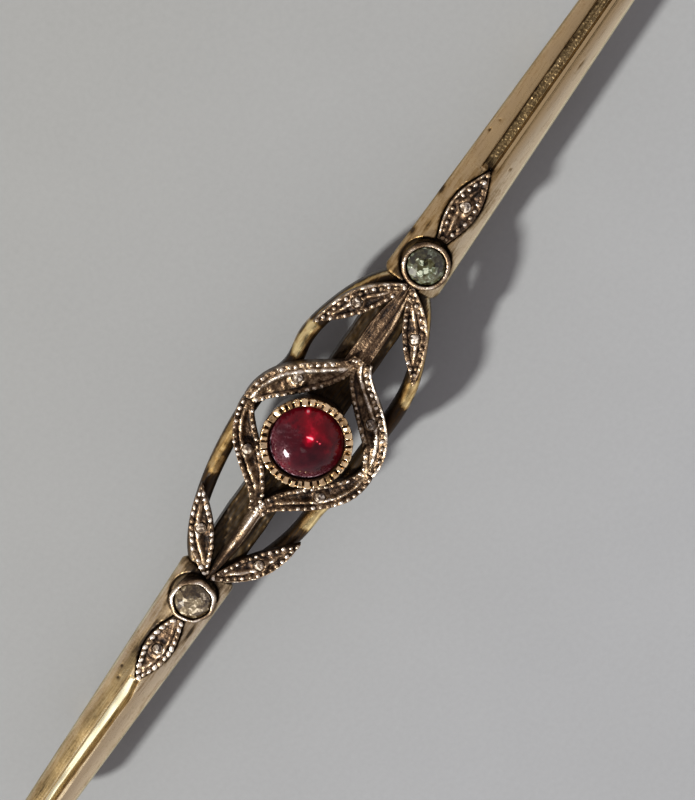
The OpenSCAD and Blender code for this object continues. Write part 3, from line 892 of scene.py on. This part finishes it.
def bows(crown):
    """The oval band of both bows: a rounded section carried round an oval. A point of
    the band lies at (reach + g) cos a, (rise + g) sin a, where g goes across it, moved
    outwards by the bends of its side times the sine of a. Its top falls from the middle
    as a quarter round does."""
    angle = evenly(360)[:, None]
    g = -np.cos(np.linspace(0, math.pi, 17))[None] * BOW_HALF
    top = CORE_TOP - 0.01 - crown * (1 - np.sqrt(np.clip(1 - (g / BOW_HALF) ** 2, 0, None)))
    g = with_foot(g, BOW_HALF * np.array([0.95, 0.6, -0.6, -0.95]))
    x = (BOW_REACH + g) * np.cos(angle)
    y = (BOW_RISE + g) * np.sin(angle)
    for side, place, reach, outwards in BOW_BENDS:
        y += np.maximum(side * np.sin(angle), 0) * side * outwards * hump(x, place, reach)
    bare, shine = 0 * x, 0 * x
    for side, start, end, bright in BARE_GOLD:
        here = (side * y > 0) * smooth(x, start - 0.15, start + 0.15) * smooth(x, end + 0.15, end - 0.15)
        bare += here
        shine += bright * here
    z = with_foot(top, UNDERSIDE + np.array([0.15, 0, 0, 0.15])) + 0.012 * uneven(x, y, 0.5, 31)
    z = z + 0.02 * bare * uneven(x, y, (0.2, 0.14), 35)
    # A painted highlight along the outer edge of the bows toward the right end
    bow_edge_highlight = hump(g, 0.38, 0.14) * smooth(x, 5.5, 6.5)
    stain_and_shade = 0.95 - 0.8 * bare + 0.08 * uneven(x, y, 0.45, 32) + 0.36 * bare * uneven(x, y, 0.25, 33)
    # Painted shade: darker sides of the band, and the inner half of bare patches
    stain_and_shade += 0.5 * smooth(abs(g), 0.36, BOW_HALF) + 0.5 * bare * smooth(-g, 0.0, 0.3) - 0.85 * bow_edge_highlight
    # Bright bare patches get a painted highlight along the crown, and dull ones are darker
    stain_and_shade -= 0.25 * np.clip(shine - 0.5, 0, 1) * hump(g, 0.16, 0.3)
    stain_and_shade += 0.3 * np.clip(0.5 - shine, 0, 1) * bare
    wear_and_light = shine * hump(g, 0.18, 0.26) * (0.6 + 0.5 * uneven(x, y, (0.28, 0.2), 34)) + 0.3 * bow_edge_highlight
    return tube(points_at(x, y, z), wear_and_light, stain_and_shade, closed=True)


class BROOCH_OT_gold_bar(bpy.types.Operator):
    """Make the bar: two grooved arms, the core between them and the two bows"""

    bl_idname = "brooch.gold_bar"
    bl_label = "Gold bar"

    def execute(self, context):
        finish = context.scene.brooch_finish
        shells = [arm(1), arm(-1), core(), bows(context.scene.brooch_sizes.bow_crown / MM)]
        put("worn_gold_bar", shells, worn_gold(finish, "worn gold", finish.gold_warm), "gold", "gold_bar")
        return {"FINISHED"}


# The silver front


def seat(height, wear_and_light, x, y, stone):
    """Adds a stone's seat to a silver top: bells of the distance from its middle make a
    raised ring and a dip round that, and its floor is sunk."""
    centre, radius, foot, _ = seating(stone)
    away = np.hypot(x - centre[0], y - centre[1])
    ring = hump(away, radius + 0.09, 0.08) * (0.5 + 0.5 * uneven(x, y, 0.17, 7))
    height = height + 0.06 * ring - 0.05 * hump(away, radius + 0.34, 0.1)
    sunk = smooth(away, radius + 0.03, radius - 0.01)
    height = height * (1 - sunk) + (foot - 0.02) * sunk
    return height, wear_and_light + 0.3 * ring - 0.6 * sunk - 0.12 * hump(away, radius + 0.34, 0.12)


def edge_beads(sizes, line, halves, out, rims, heights, beads, seed):
    """Beads along the outer and the inner edge of a worked strip, inside its outline by
    the rim and half a bead, with small seeded differences in size, place and shine."""
    wide, bright, twist, stretch = beads
    radius = sizes.bead / MM / 2
    random = np.random.default_rng(seed)
    shells = []
    for sign, rim, z in zip((1, -1), rims, heights):
        inset = np.maximum(halves - rim - radius * 0.95, 0.01)[:, None]
        edge = line + sign * out * lefts(line) * inset
        places, ways = spaced(points_at(*edge.T, z), wide * sizes.bead_pitch / MM)
        shape = (len(places), 3)
        places = places + random.normal(0, 0.022, shape)
        own = radius * np.array([[stretch, 1, 0.9]]) * random.uniform(0.78, 1.12, shape)
        ways = math.cos(twist) * ways + math.sin(twist) * sign * crosswise(ways)
        shells.append(grains(places, ways, own, bright, seed + sign))
    return shells


def worked_strip(
    sizes, line, halves, stone, seeds, out, rims, high, fall, heights, crest,
    wide=0.12, tone=0.0, beads=PLAIN_BEADS, count=41,
):
    """A ribbon, leaf or sprig with its beads. d is the distance from its outer edge and
    e that from its inner edge; out tells which side is the outer one. Inwards from the
    outer edge there are a rim, a row of beads, a thin cut, a rounded crest, a hollow, a
    second cut and the inner beads. Bells of d and e make the cuts and the crest, and the
    product of a rise from each side the hollow. The whole falls evenly inwards. Wear is
    lowered in the hollows and raised on the crest, and tone is added to all of it."""
    bead = sizes.bead / MM
    half = halves[:, None]
    rim, seed = rims[0], seeds[0]
    rimmed = rim > 0.05
    room = smooth(half, 0.36, 0.6)
    ridge_at = np.minimum(rim + bead + 0.22, half * 1.05)

    def top(s, x, y):
        d, e = half * (1 - out * s), half * (1 + out * s)
        cut = hump(d, rim + bead + 0.04, 0.05)
        inner_cut = hump(e, bead + 0.04, 0.05)
        ridge = hump(d, ridge_at, wide)
        hollow = smooth(d, ridge_at, ridge_at + 0.25) * smooth(e, bead * 0.7, bead + 0.2)
        tidy = 0.75 + 0.25 * uneven(x, y, 0.6, seed + 2)
        shape = sizes.crest_height * ridge - sizes.cut_depth * (cut + 0.7 * inner_cut)
        shape = (shape - sizes.hollow_depth * hollow * tidy) / MM
        height = high - fall * (1 - out * s) / 2 + room * shape
        height -= 0.05 * smooth(abs(d - rim - bead / 2), bead * 0.55, bead * 0.3) * rimmed
        height += 0.045 * uneven(x, y, 0.3, seed) + 0.022 * uneven(x, y, 0.14, seed + 4)
        wear_and_light = 0.37 + tone + 0.2 * uneven(x, y, 0.5, seed + 1) + 0.16 * uneven(x, y, 0.17, seed + 3)
        broken = 0.72 + 0.4 * uneven(x, y, 0.4, seed + 6)
        wear_and_light += room * (crest * ridge * broken - 0.34 * (cut + inner_cut) - 0.2 * hollow)
        wear_and_light += 0.35 * rimmed * smooth(d, rim + 0.05, rim * 0.6)
        wear_and_light -= 0.12 * hump(d, rim + bead / 2, bead / 2) + 0.12 * hump(e, bead / 2, bead / 2)
        return seat(height, np.clip(wear_and_light, 0, 1), x, y, stone)

    plate = strip(line, halves, top, SILVER_FOOT, count=count)
    return [plate, *edge_beads(sizes, line, halves, out, rims, heights, beads, seeds[1])]


class BROOCH_OT_ribbons(bpy.types.Operator):
    """Make the four beaded ribbons round the red stone"""

    bl_idname = "brooch.ribbons"
    bl_label = "Ribbons"

    def execute(self, context):
        silver = old_silver(context)
        t = np.linspace(0, 1, 150)
        high, fall = RIBBON_TOP - 0.04, 0.26
        for i, (line, halves, rim, crest, wide, tone) in enumerate(RIBBONS):
            shells = worked_strip(
                context.scene.brooch_sizes, cubic(line, t) * QUARTERS[i], swelling(t, *halves, 1.3),
                f"rose_ribbon_{i + 1}", (40 + 5 * i, 60 + 5 * i), -math.prod(QUARTERS[i]), (rim, 0),
                high, fall, (high - 0.02, high - fall + 0.02), crest, wide, tone, count=49,
            )
            if i == 3:
                shells.append(self.pellet())
            put(f"ribbon_{i + 1}", shells, silver, "silver", "silver_openwork")
        return {"FINISHED"}

    @staticmethod
    def pellet():
        """A silver pellet on the last ribbon, beside its stone: one faceted ball."""
        place = np.array([[*PELLET, RIBBON_TOP - 0.1]])
        return grains(place, np.array([[1.0, 0, 0]]), (0.28, 0.25, 0.24), 0.7, 79)


class BROOCH_OT_leaves(bpy.types.Operator):
    """Make the four beaded leaves and the two stems"""

    bl_idname = "brooch.leaves"
    bl_label = "Leaves and stems"

    def execute(self, context):
        silver = old_silver(context)
        t = np.linspace(0, 1, 130)
        high, fall = LEAF_TOP - 0.06, 0.06
        along = LEAF_TIP - LEAF_ROOT
        outward = along[::-1] * (1, -1) / np.linalg.norm(along)
        for i, (bow, rim, tone, beads) in enumerate(LEAVES):
            bends = [LEAF_ROOT + along * share + outward * bow for share in (1 / 3, 2 / 3)]
            shells = worked_strip(
                context.scene.brooch_sizes, cubic((LEAF_ROOT, *bends, LEAF_TIP), t) * QUARTERS[i],
                swelling(t, *LEAF_HALVES), f"rose_leaf_{i + 1}", (80 + i, 90 + 5 * i),
                -math.prod(QUARTERS[i]), (rim, 0), high, fall, (high - 0.02, high - fall), 0.45,
                tone=tone, beads=beads,
            )
            put(f"leaf_{i + 1}", shells, silver, "silver", "silver_openwork")
        for side, name, swell, lean in STEMS:
            put(f"stem_{name}", [self.stem(side, swell, lean)], silver, "silver", "silver_openwork")
        return {"FINISHED"}

    @staticmethod
    def stem(side, swell, lean):
        """A stem along the core. Its half width swells, and its centre strays, as a
        quarter sine from its root. The right one is flat with two shallow channels, a
        cosine of s, rubbed lengthwise lines and a painted highlight along one edge toward its
        root. The left one is round, its top falling with the square of s, and polished along
        two ridges, which carry a painted highlight that grows toward its end at the ribbons."""
        x = np.linspace(STEM_ROOT, STEM_END, 150)
        growth = np.sin(math.pi / 2 * np.clip((STEM_ROOT - x) / 3.5, 0, 1))

        def top(s, x, y):
            lines = uneven(x, y, (0.9, 0.07), 101)
            if side > 0:
                ribs = np.cos(TURN * s)
                height = LEAF_TOP - 0.14 + 0.05 * ribs - 0.1 * s**4 + 0.04 * lines
                # A painted highlight along one edge toward the root
                stem_edge_highlight = 0.5 * hump(s, 0.72, 0.14) * smooth(x, 6.5, 8.5)
                return height, 0.22 + 0.12 * ribs + 0.26 * lines + stem_edge_highlight
            # A painted highlight on the two ridges, growing toward the end at the ribbons, over real polish
            shine = smooth(x, -9.2, -5.4)
            ridges = hump(s, 0.3, 0.25 + 0.4 * shine) + 0.6 * hump(s, -0.72, 0.16)
            height = LEAF_TOP + 0.02 - 0.34 * s**2 + 0.015 * lines + 0.03 * ridges
            return height, 0.1 + (0.25 + 0.7 * shine) * ridges + 0.3 * lines

        line = np.stack([side * x, lean * growth], 1)
        return strip(line, 0.14 + swell * growth, top, SILVER_FOOT, count=37)


class BROOCH_OT_sprigs(bpy.types.Operator):
    """Make the two sprigs let into the arms"""

    bl_idname = "brooch.sprigs"
    bl_label = "Sprigs"

    def execute(self, context):
        silver = old_silver(context)
        t = np.linspace(0, 1, 110)
        high = LEAF_TOP - 0.08
        for side, name, rim, tone, beads in SPRIGS:
            x = SPRIG_ROOT + (SPRIG_TIP - SPRIG_ROOT) * t
            shells = worked_strip(
                context.scene.brooch_sizes, np.stack([side * x, 0 * x], 1), swelling(t, *SPRIG_HALVES),
                f"rose_sprig_{name}", (110 + side, 120 + 5 * side), 1, (rim, rim), high, 0.0,
                (high, high), 0.2, tone=tone, beads=beads,
            )
            put(f"sprig_{name}_worked", shells, silver, "silver", f"sprig_{name}")
        return {"FINISHED"}


# Cups and stones


def cut_stone(centre, radius, low_z, girdle_z, high_z, table, turn):
    """An old-cut stone of flat facets. Rings of corners, from the top: eight at the
    table, eight on the crown, sixteen at the girdle's top and at its foot, and eight at
    the culet. Each ring is joined to the next by triangles or four-cornered facets."""
    eighth, sixteenth = evenly(8) + turn, evenly(16) + turn
    points = corners_of(
        centre, (0, 0, high_z), (eighth + math.pi / 8, radius * table, high_z),
        (eighth, radius * (1 + table) / 2 * 1.02, girdle_z + (high_z - girdle_z) * 0.55),
        (sixteenth, radius, girdle_z + 0.03), (sixteenth, radius, girdle_z - 0.03),
        (eighth, radius * 0.28, low_z), (0, 0, low_z),
    )
    # The numbers of the corners that each facet takes from a ring, one after another
    a = np.arange(8)
    b = (a + 1) % 8
    table, crown, culet = ((first + a, first + b) for first in (1, 9, 49))
    upper, lower = ((first + 2 * a, first + 2 * a + 1, first + 2 * b) for first in (17, 33))
    facets = [faces_of(*corners) for corners in (
        (0, *table), (table[0], crown[1], table[1]), (table[0], crown[0], upper[1], crown[1]),
        (crown[0], upper[0], upper[1]), (crown[1], upper[1], upper[2]),
        (upper[0], lower[0], lower[1], upper[1]), (upper[1], lower[1], lower[2], upper[2]),
        (lower[0], culet[0], lower[1]), (lower[1], culet[1], lower[2]), (lower[1], *culet),
        (culet[1], culet[0], len(points) - 1),
    )]
    # Painted light: paler at the table and darker down to the culet
    wear_and_light = np.repeat([0.6, 0.5, 0.45, 0.4, 0.3, 0.2], [1, 8, 8, 16, 16, 9])
    return Shell(points, facets, wear_and_light, flat=True)


class BROOCH_OT_collets(bpy.types.Operator):
    """Make the two small cups and their old-cut diamonds"""

    bl_idname = "brooch.collets"
    bl_label = "Collets and diamonds"

    def execute(self, context):
        silver = old_silver(context)
        around = evenly(96)
        for side, name, waves, depth, rim, fall, shine, turn in COLLETS:
            centre, radius, low_z, high_z = seating(f"diamond_{name}")
            girdle = high_z - 0.36
            profile = [
                (radius + 0.03, girdle - 0.1), (radius + 0.035, girdle + 0.02),
                (radius + rim * 0.35, COLLET_TOP - 0.05), (radius + rim * 0.55, COLLET_TOP - 0.01),
                (radius + rim, COLLET_TOP), (COLLET_RADIUS, COLLET_TOP - fall),
                (COLLET_RADIUS - 0.02, COLLET_TOP - 0.3), (1.2, SILVER_FOOT + 0.05), (1.15, SILVER_FOOT),
                (0.7, SILVER_FOOT), (0.7, girdle - 0.57), (radius + 0.03, girdle - 0.57),
            ]
            wear_and_light = np.array([0, 0, 0.25, 0.95, 1, 0.4, 0.3, 0.1, 0.1, 0.1, 0, 0]) * shine
            patchy = 0.75 + 0.35 * uneven(1.3 * np.cos(around), 1.3 * np.sin(around), 0.5, 130 + side)
            wobble = depth * np.cos(waves * around + side) + depth * 0.5 * np.cos(2 * around + 1)
            cup = lathe(profile, centre, 96, wobble, wear_and_light * patchy[:, None])
            put(f"collet_{name}_cup", [cup], silver, "silver", f"collet_{name}")
            stone = cut_stone(centre, radius, low_z, girdle, high_z, 0.5, turn)
            glass = old_diamond(f"{name} diamond")
            put(f"diamond_{name}_cut", [stone], glass, "diamond", f"diamond_{name}")
        return {"FINISHED"}


class BROOCH_OT_rose_stones(bpy.types.Operator):
    """Make the ten tiny rose-cut stones"""

    bl_idname = "brooch.rose_stones"
    bl_label = "Rose-cut stones"

    def execute(self, context):
        glass = old_diamond("rose-cut stone")
        names = [f"rose_{kind}_{i}" for kind in ("ribbon", "leaf") for i in range(1, 5)]
        names += ["rose_sprig_left", "rose_sprig_right"]
        for i, name in enumerate(names):
            put(f"{name}_cut", [self.rose(*seating(name), 160 + i)], glass, "diamond", name)
        return {"FINISHED"}

    @staticmethod
    def rose(centre, radius, foot, top, seed):
        """A rose cut: a flat base and above it a ring of twelve corners at its widest, a
        ring of six higher up and a point, joined by flat facets. The six and the point
        are a little out of true."""
        rise = top - foot
        random = np.random.default_rng(seed)
        turn = random.uniform(0, math.pi)
        twelve = evenly(12) + turn
        six = evenly(6) + math.pi / 6 + turn + random.uniform(-0.25, 0.25, 6)
        lean_x, lean_y = random.uniform(-0.2, 0.2, 2) * radius
        crown_radii = radius * random.uniform(0.45, 0.72, 6)
        crown_heights = foot + rise * random.uniform(0.7, 0.93, 6)
        points = corners_of(
            centre, (0, 0, foot), (twelve, radius * 0.97, foot), (twelve, radius, foot + rise * 0.45),
            (six, crown_radii, crown_heights), (math.atan2(lean_y, lean_x), math.hypot(lean_x, lean_y), top),
        )
        k, j = np.arange(12), np.arange(6)
        base, waist = ((first + k, first + (k + 1) % 12) for first in (1, 13))
        crown = (25 + j, 25 + (j + 1) % 6)
        below = (13 + 2 * j, 14 + 2 * j, 13 + (2 * j + 2) % 12)
        facets = [faces_of(*corners) for corners in (
            (0, base[1], base[0]), (base[0], base[1], waist[1], waist[0]),
            (below[0], below[1], crown[0]), (below[1], below[2], crown[0]),
            (crown[0], below[2], crown[1]), (len(points) - 1, *crown),
        )]
        return Shell(points, facets, 0.5, flat=True)


class BROOCH_OT_red_stone(bpy.types.Operator):
    """Make the grained bezel and the domed red stone"""

    bl_idname = "brooch.red_stone"
    bl_label = "Bezel and red stone"

    def execute(self, context):
        finish = context.scene.brooch_finish
        gold = worn_gold(finish, "bezel gold", finish.gold_bezel)
        shells = [self.cup(), self.rim(context.scene.brooch_sizes.bezel_grains)]
        put("grained_bezel", shells, gold, "gold", "stone_bezel")
        put("red_dome", [self.dome()], red_glass(finish), "red_stone", "red_stone")
        return {"FINISHED"}

    @staticmethod
    def cup():
        """The stone's cup, turned from its profile."""
        bore = STONE_RADIUS + 0.03
        profile = [
            (bore, BEZEL_TOP - 0.5), (bore + 0.02, BEZEL_TOP - 0.2), (bore + 0.12, BEZEL_TOP - 0.2),
            (bore + 0.2, BEZEL_TOP - 0.26), (BEZEL_RADIUS - 0.13, BEZEL_TOP - 0.26),
            (BEZEL_RADIUS - 0.08, BEZEL_TOP - 0.22), (BEZEL_RADIUS - 0.04, BEZEL_TOP - 0.27),
            (BEZEL_RADIUS - 0.06, BEZEL_TOP - 0.45), (2.45, 5.2), (2.36, SILVER_FOOT + 0.05),
            (2.3, SILVER_FOOT), (1.3, SILVER_FOOT), (1.3, STONE_FOOT - 0.03), (bore, STONE_FOOT - 0.03),
        ]
        stain_and_shade = np.array([0.8, 0.75, 0.75, 0.9, 0.95, 0.6, 0.7, 0.75, 0.85, 0.95, 0.95, 0.95, 0.95, 0.9])
        angle = evenly(128)[:, None]
        patchy = 0.35 * uneven(2.6 * np.cos(angle), 2.6 * np.sin(angle), 0.45, 143)
        return lathe(profile, steps=128, wear_and_light=0.2, stain_and_shade=stain_and_shade + patchy)

    @staticmethod
    def rim(count):
        """The toothed rim: a squarish section carried round the cup, which rises as the
        cube root of 1 - |2q - 1|^3 for a share q of the way out. Between the teeth it is
        notched, deeply at the stone and lightly outside. Every tooth has its own height,
        tilt and dullness."""
        random = np.random.default_rng(140)
        place = np.arange(count * TOOTH_STEPS)[:, None] / TOOTH_STEPS
        tooth = place[:, 0].astype(int)
        high, out_slope, side_slope, wide, moved = random.normal(0, 1, (5, count))[:, tooth, None]
        dull = random.uniform(0, 1, count)[tooth, None]
        phase = place % 1 - 0.5
        notch = smooth(abs(phase), 0.28 + 0.05 * wide, 0.43)
        q = 0.5 - 0.5 * np.cos(math.pi * np.linspace(0, 1, 22))
        inner, outer = STONE_RADIUS + 0.07, BEZEL_RADIUS - 0.015
        angle = (place + 0.05 * np.sin(place * 1.7)) * TURN / count
        radius = inner + (outer - inner) * q + 0.02 * moved * (1 - notch)
        radius += notch * (0.03 - 0.08 * q)
        crown = np.cbrt(np.clip(1 - abs(2 * q - 1) ** 3, 0, 1))
        lift = 0.016 * high + 0.12 * out_slope * (q - 0.5) + 0.16 * side_slope * phase
        lift = lift * (1 - notch) - notch * (0.19 - 0.13 * smooth(q, 0.4, 0.95))
        lift += 0.022 * uneven(radius * np.cos(angle), radius * np.sin(angle), 0.13, 144)
        height = BEZEL_TOP - 0.21 + (0.17 * (1 - 0.25 * dull**2) + lift) * crown
        wear_and_light = (0.95 - 0.5 * dull) * crown * (1 - 0.8 * notch) + 0.7 * hump(q, 0.86, 0.12)
        stain_and_shade = notch * (0.25 + 0.85 * smooth(q, 0.95, 0.5)) + 0.6 * smooth(q, 0.14, 0) + 0.45 * dull**3
        radius = with_foot(radius, inner + (outer - inner) * np.array([0.97, 0.5, 0.03]))
        rings = turned(angle, radius, with_foot(height, [BEZEL_TOP - 0.32] * 3))
        return tube(rings, with_foot(wear_and_light, [0] * 3), with_foot(stain_and_shade, [0.9] * 3), closed=True)

    @staticmethod
    def dome():
        """The dome: the height of a ball's cap over each point, or of the lowest of two
        rings of shallow facet planes, blended softly, on a grid of angle and radius. Below
        the girdle it draws in to a flat foot. It is painted bright on the side away from
        the main light and scuffed on the side towards it. Right and up are the picture's
        ways."""
        girdle_z = STONE_FOOT + 0.78
        rise = STONE_TOP - girdle_z
        ball = (STONE_RADIUS**2 + rise**2) / (2 * rise)
        angle = -evenly(128)[:, None]
        radius = np.sin(np.linspace(0.02, 1, 64) * math.pi / 2)[None] * STONE_RADIUS
        x, y = radius * np.cos(angle), radius * np.sin(angle)
        heights = [np.sqrt(ball**2 - x**2 - y**2)]
        for count, lean, cut, turn in DOME_FACETS:
            for a in turn + evenly(count):
                across = x * math.cos(a) + y * math.sin(a)
                heights.append((ball - cut - math.sin(lean) * across) / math.cos(lean))
        lowest = np.min(heights, 0)
        blend = DOME_SOFTNESS * np.log(np.exp((lowest - heights) / DOME_SOFTNESS).sum(0))
        height = np.maximum(STONE_TOP - ball + lowest - blend, girdle_z)
        height = with_foot(height, [girdle_z - 0.06, STONE_FOOT, STONE_FOOT])
        radius = with_foot(radius, STONE_RADIUS * np.array([0.985, 0.7, 0.02]))
        rings = turned(angle, radius, height)
        x, y = rings[..., 0], rings[..., 1]
        right, up = 0.57 * x - 0.82 * y, 0.82 * x + 0.57 * y
        glow = 0.22 + 0.1 * smooth(x, -0.9, 1.2)
        for u, v, marks in ((x, y, STONE_LIGHTS), (right, up, STONE_SHADES)):
            for place_u, place_v, width, bright in marks:
                glow += bright * hump(np.hypot(u - place_u, v - place_v), 0, width)
        # Painted highlights: an arc of bright flecks in the stone
        flecked = smooth(uneven(x, y, 0.11, 151), -0.1, 0.5)
        bow = hump(x - 0.64 + 0.3 * (y + 0.2) ** 2, 0, 0.05)
        glow += 0.75 * bow * flecked * smooth(y, -0.95, -0.75) * smooth(y, 0.4, 0.25)
        glow += 0.06 * hump(right, 1.7, 0.5) + 0.12 * smooth(up, 0.7, 1.7) * hump(right, 0.3, 1.2)
        streaks = np.clip(uneven(right, up, (0.5, 0.07), 152), 0, 1)
        # A painted lilac highlight beside the stone's glint, added to its scuffs
        lilac = hump(right, -1.1, 0.15) * hump(up, -0.36, 0.3) * smooth(uneven(x, y, 0.16, 153), -0.6, 0)
        edge = hump(np.hypot(x, y), 2.03, 0.06) + 0.3 * hump(np.hypot(x, y), 1.82, 0.16)
        scuff_and_glint = 0.8 * edge * smooth(-x * 0.85 + y * 0.1, -0.3, 1.2) + 1.5 * lilac
        # A softer painted highlight round that glint
        scuff_and_glint += 0.3 * hump(right, -1.3, 0.25) * hump(up, -0.5, 0.6)
        scuff_and_glint += 0.75 * streaks * hump(right, -0.95, 0.55) * hump(up, 0.65, 0.5)
        return tube(rings.transpose(1, 0, 2), glow.T, scuff_and_glint.T)


class BROOCH_OT_pin(bpy.types.Operator):
    """Finish the pin and catch behind the bar"""

    bl_idname = "brooch.pin"
    bl_label = "Pin and catch"

    def execute(self, context):
        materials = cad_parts["pin_and_catch"].data.materials
        materials.clear()
        materials.append(pin_gold(context.scene.brooch_finish))
        return {"FINISHED"}


# The studio


class BROOCH_OT_stage(bpy.types.Operator):
    """Make the floor, the lights and the camera"""

    bl_idname = "brooch.stage"
    bl_label = "Studio"

    def execute(self, context):
        studio = context.scene.brooch_studio
        self.floor(context, studio)
        self.light(context, studio)
        self.sky(context, studio)
        self.camera(context)
        context.scene.view_settings.view_transform = "Standard"
        return {"FINISHED"}

    @staticmethod
    def floor(context, studio):
        """A level sheet under the brooch."""
        corners = [(x * FLOOR_HALF, y * FLOOR_HALF, 0) for x, y in ((-1, -1), (1, -1), (1, 1), (-1, 1))]
        mesh = bpy.data.meshes.new("floor")
        mesh.from_pydata(corners, [], [(0, 1, 2, 3)])
        mesh.materials.append(floor_paper(studio))
        sheet = bpy.data.objects.new("floor", mesh)
        context.scene.collection.objects.link(sheet)

    @staticmethod
    def light(context, studio):
        """A main light from the bar's left end."""
        key = bpy.data.lights.new("key", "SUN")
        key.energy = studio.key_strength
        key.angle = studio.key_softness
        key.color = SUNLIGHT
        lamp = bpy.data.objects.new("key", key)
        lamp.rotation_euler = Vector(SUN_WAY).to_track_quat("Z", "Y").to_euler()
        context.scene.collection.objects.link(lamp)

    @staticmethod
    def sky(context, studio):
        """A soft sky with a bright patch and a dark cap, brighter low on the near side."""
        world = bpy.data.worlds.new("studio sky")
        nodes = Nodes(world)
        way = nodes.add("TexCoord", out="Generated")

        def towards(direction, near, far):
            """1 within near degrees of a direction, falling to 0 at far degrees."""
            inputs = {0: way, 1: Vector(direction).normalized()}
            cosine = nodes.add("VectorMath", inputs, "Value", operation="DOT_PRODUCT")
            return cosine.ranged(math.cos(math.radians(far)), math.cos(math.radians(near)))

        _, across, upwards = nodes.parts(way)
        side = across.ranged(-1, 0, 0.4, 0) * upwards.ranged(0, 0.7, 1, 0)
        glow = side + towards(BRIGHT_WAY, 4, 10.5) * 2.05
        shade = nodes.mix(1.0, upwards.ramp(SKY), glow, "ADD")
        shade = nodes.mix(towards(DARK_WAY, 16.5, 22.5), shade, DARK_SKY)
        nodes.add("OutputWorld", {0: nodes.add("Background", {0: shade, 1: studio.sky_strength})})
        context.scene.world = world

    @staticmethod
    def camera(context):
        """A camera where the photograph's was. Back, its way from the brooch, is the unit
        vector with the sines of the two tilts along X and Y; right is X flattened on the
        picture and turned by the picture's turn. It stands at its distance from the
        anchor, and its lens shows one millimetre there as PIXELS_PER_MM pixels."""
        back = np.array([*np.sin(np.radians(CAMERA_TILTS)), 0])
        back[2] = math.sqrt(1 - back @ back)
        along = np.array([1.0, 0, 0]) - back[0] * back
        along /= np.linalg.norm(along)
        across = np.cross(back, along)
        turn = math.radians(CAMERA_TURN)
        right = math.cos(turn) * along - math.sin(turn) * across
        up = math.sin(turn) * along + math.cos(turn) * across
        focal = PIXELS_PER_MM * CAMERA_DISTANCE
        off_x = (ANCHOR_PIXEL[0] - FRAME_WIDTH / 2) / focal
        off_y = (FRAME_HEIGHT / 2 - ANCHOR_PIXEL[1]) / focal
        eye = np.array([0, 0, ANCHOR_HEIGHT]) - (right * off_x + up * off_y - back) * CAMERA_DISTANCE
        lens = bpy.data.cameras.new("camera")
        lens.sensor_width = SENSOR_MM
        lens.lens = SENSOR_MM * focal / max(FRAME_WIDTH, FRAME_HEIGHT)
        lens.clip_start = 0.005
        camera = bpy.data.objects.new("camera", lens)
        axes = Matrix(np.stack([right, up, back], 1).tolist()).to_4x4()
        camera.matrix_world = Matrix.Translation(Vector(eye * MM)) @ axes
        context.scene.collection.objects.link(camera)
        context.scene.camera = camera


OPERATORS = (
    BROOCH_OT_stage, BROOCH_OT_gold_bar, BROOCH_OT_ribbons, BROOCH_OT_leaves, BROOCH_OT_sprigs,
    BROOCH_OT_collets, BROOCH_OT_rose_stones, BROOCH_OT_red_stone, BROOCH_OT_pin,
)


class BROOCH_PT_panel(bpy.types.Panel):
    """Sizes, colours and one button for each group of pieces"""

    bl_idname = "BROOCH_PT_panel"
    bl_label = "Bar brooch"
    bl_space_type = "VIEW_3D"
    bl_region_type = "UI"
    bl_category = "Brooch"

    def draw(self, context):
        for group in (context.scene.brooch_sizes, context.scene.brooch_finish, context.scene.brooch_studio):
            box = self.layout.box()
            for name in group.__annotations__:
                box.prop(group, name)
        for operator in OPERATORS:
            self.layout.operator(operator.bl_idname)


CLASSES = (BroochSizes, BroochFinish, BroochStudio, *OPERATORS, BROOCH_PT_panel)


def register():
    """Makes the classes known, and gives the scene its three groups of properties."""
    for cls in CLASSES:
        bpy.utils.register_class(cls)
    bpy.types.Scene.brooch_sizes = PointerProperty(type=BroochSizes)
    bpy.types.Scene.brooch_finish = PointerProperty(type=BroochFinish)
    bpy.types.Scene.brooch_studio = PointerProperty(type=BroochStudio)


def unregister():
    """Takes the properties and the classes away again."""
    del bpy.types.Scene.brooch_studio
    del bpy.types.Scene.brooch_finish
    del bpy.types.Scene.brooch_sizes
    for cls in reversed(CLASSES):
        bpy.utils.unregister_class(cls)


def main():
    """Makes the stage and every piece in order."""
    register()
    bpy.ops.brooch.stage()
    bpy.ops.brooch.gold_bar()
    bpy.ops.brooch.ribbons()
    bpy.ops.brooch.leaves()
    bpy.ops.brooch.sprigs()
    bpy.ops.brooch.collets()
    bpy.ops.brooch.rose_stones()
    bpy.ops.brooch.red_stone()
    bpy.ops.brooch.pin()


if __name__ == "__main__":
    main()
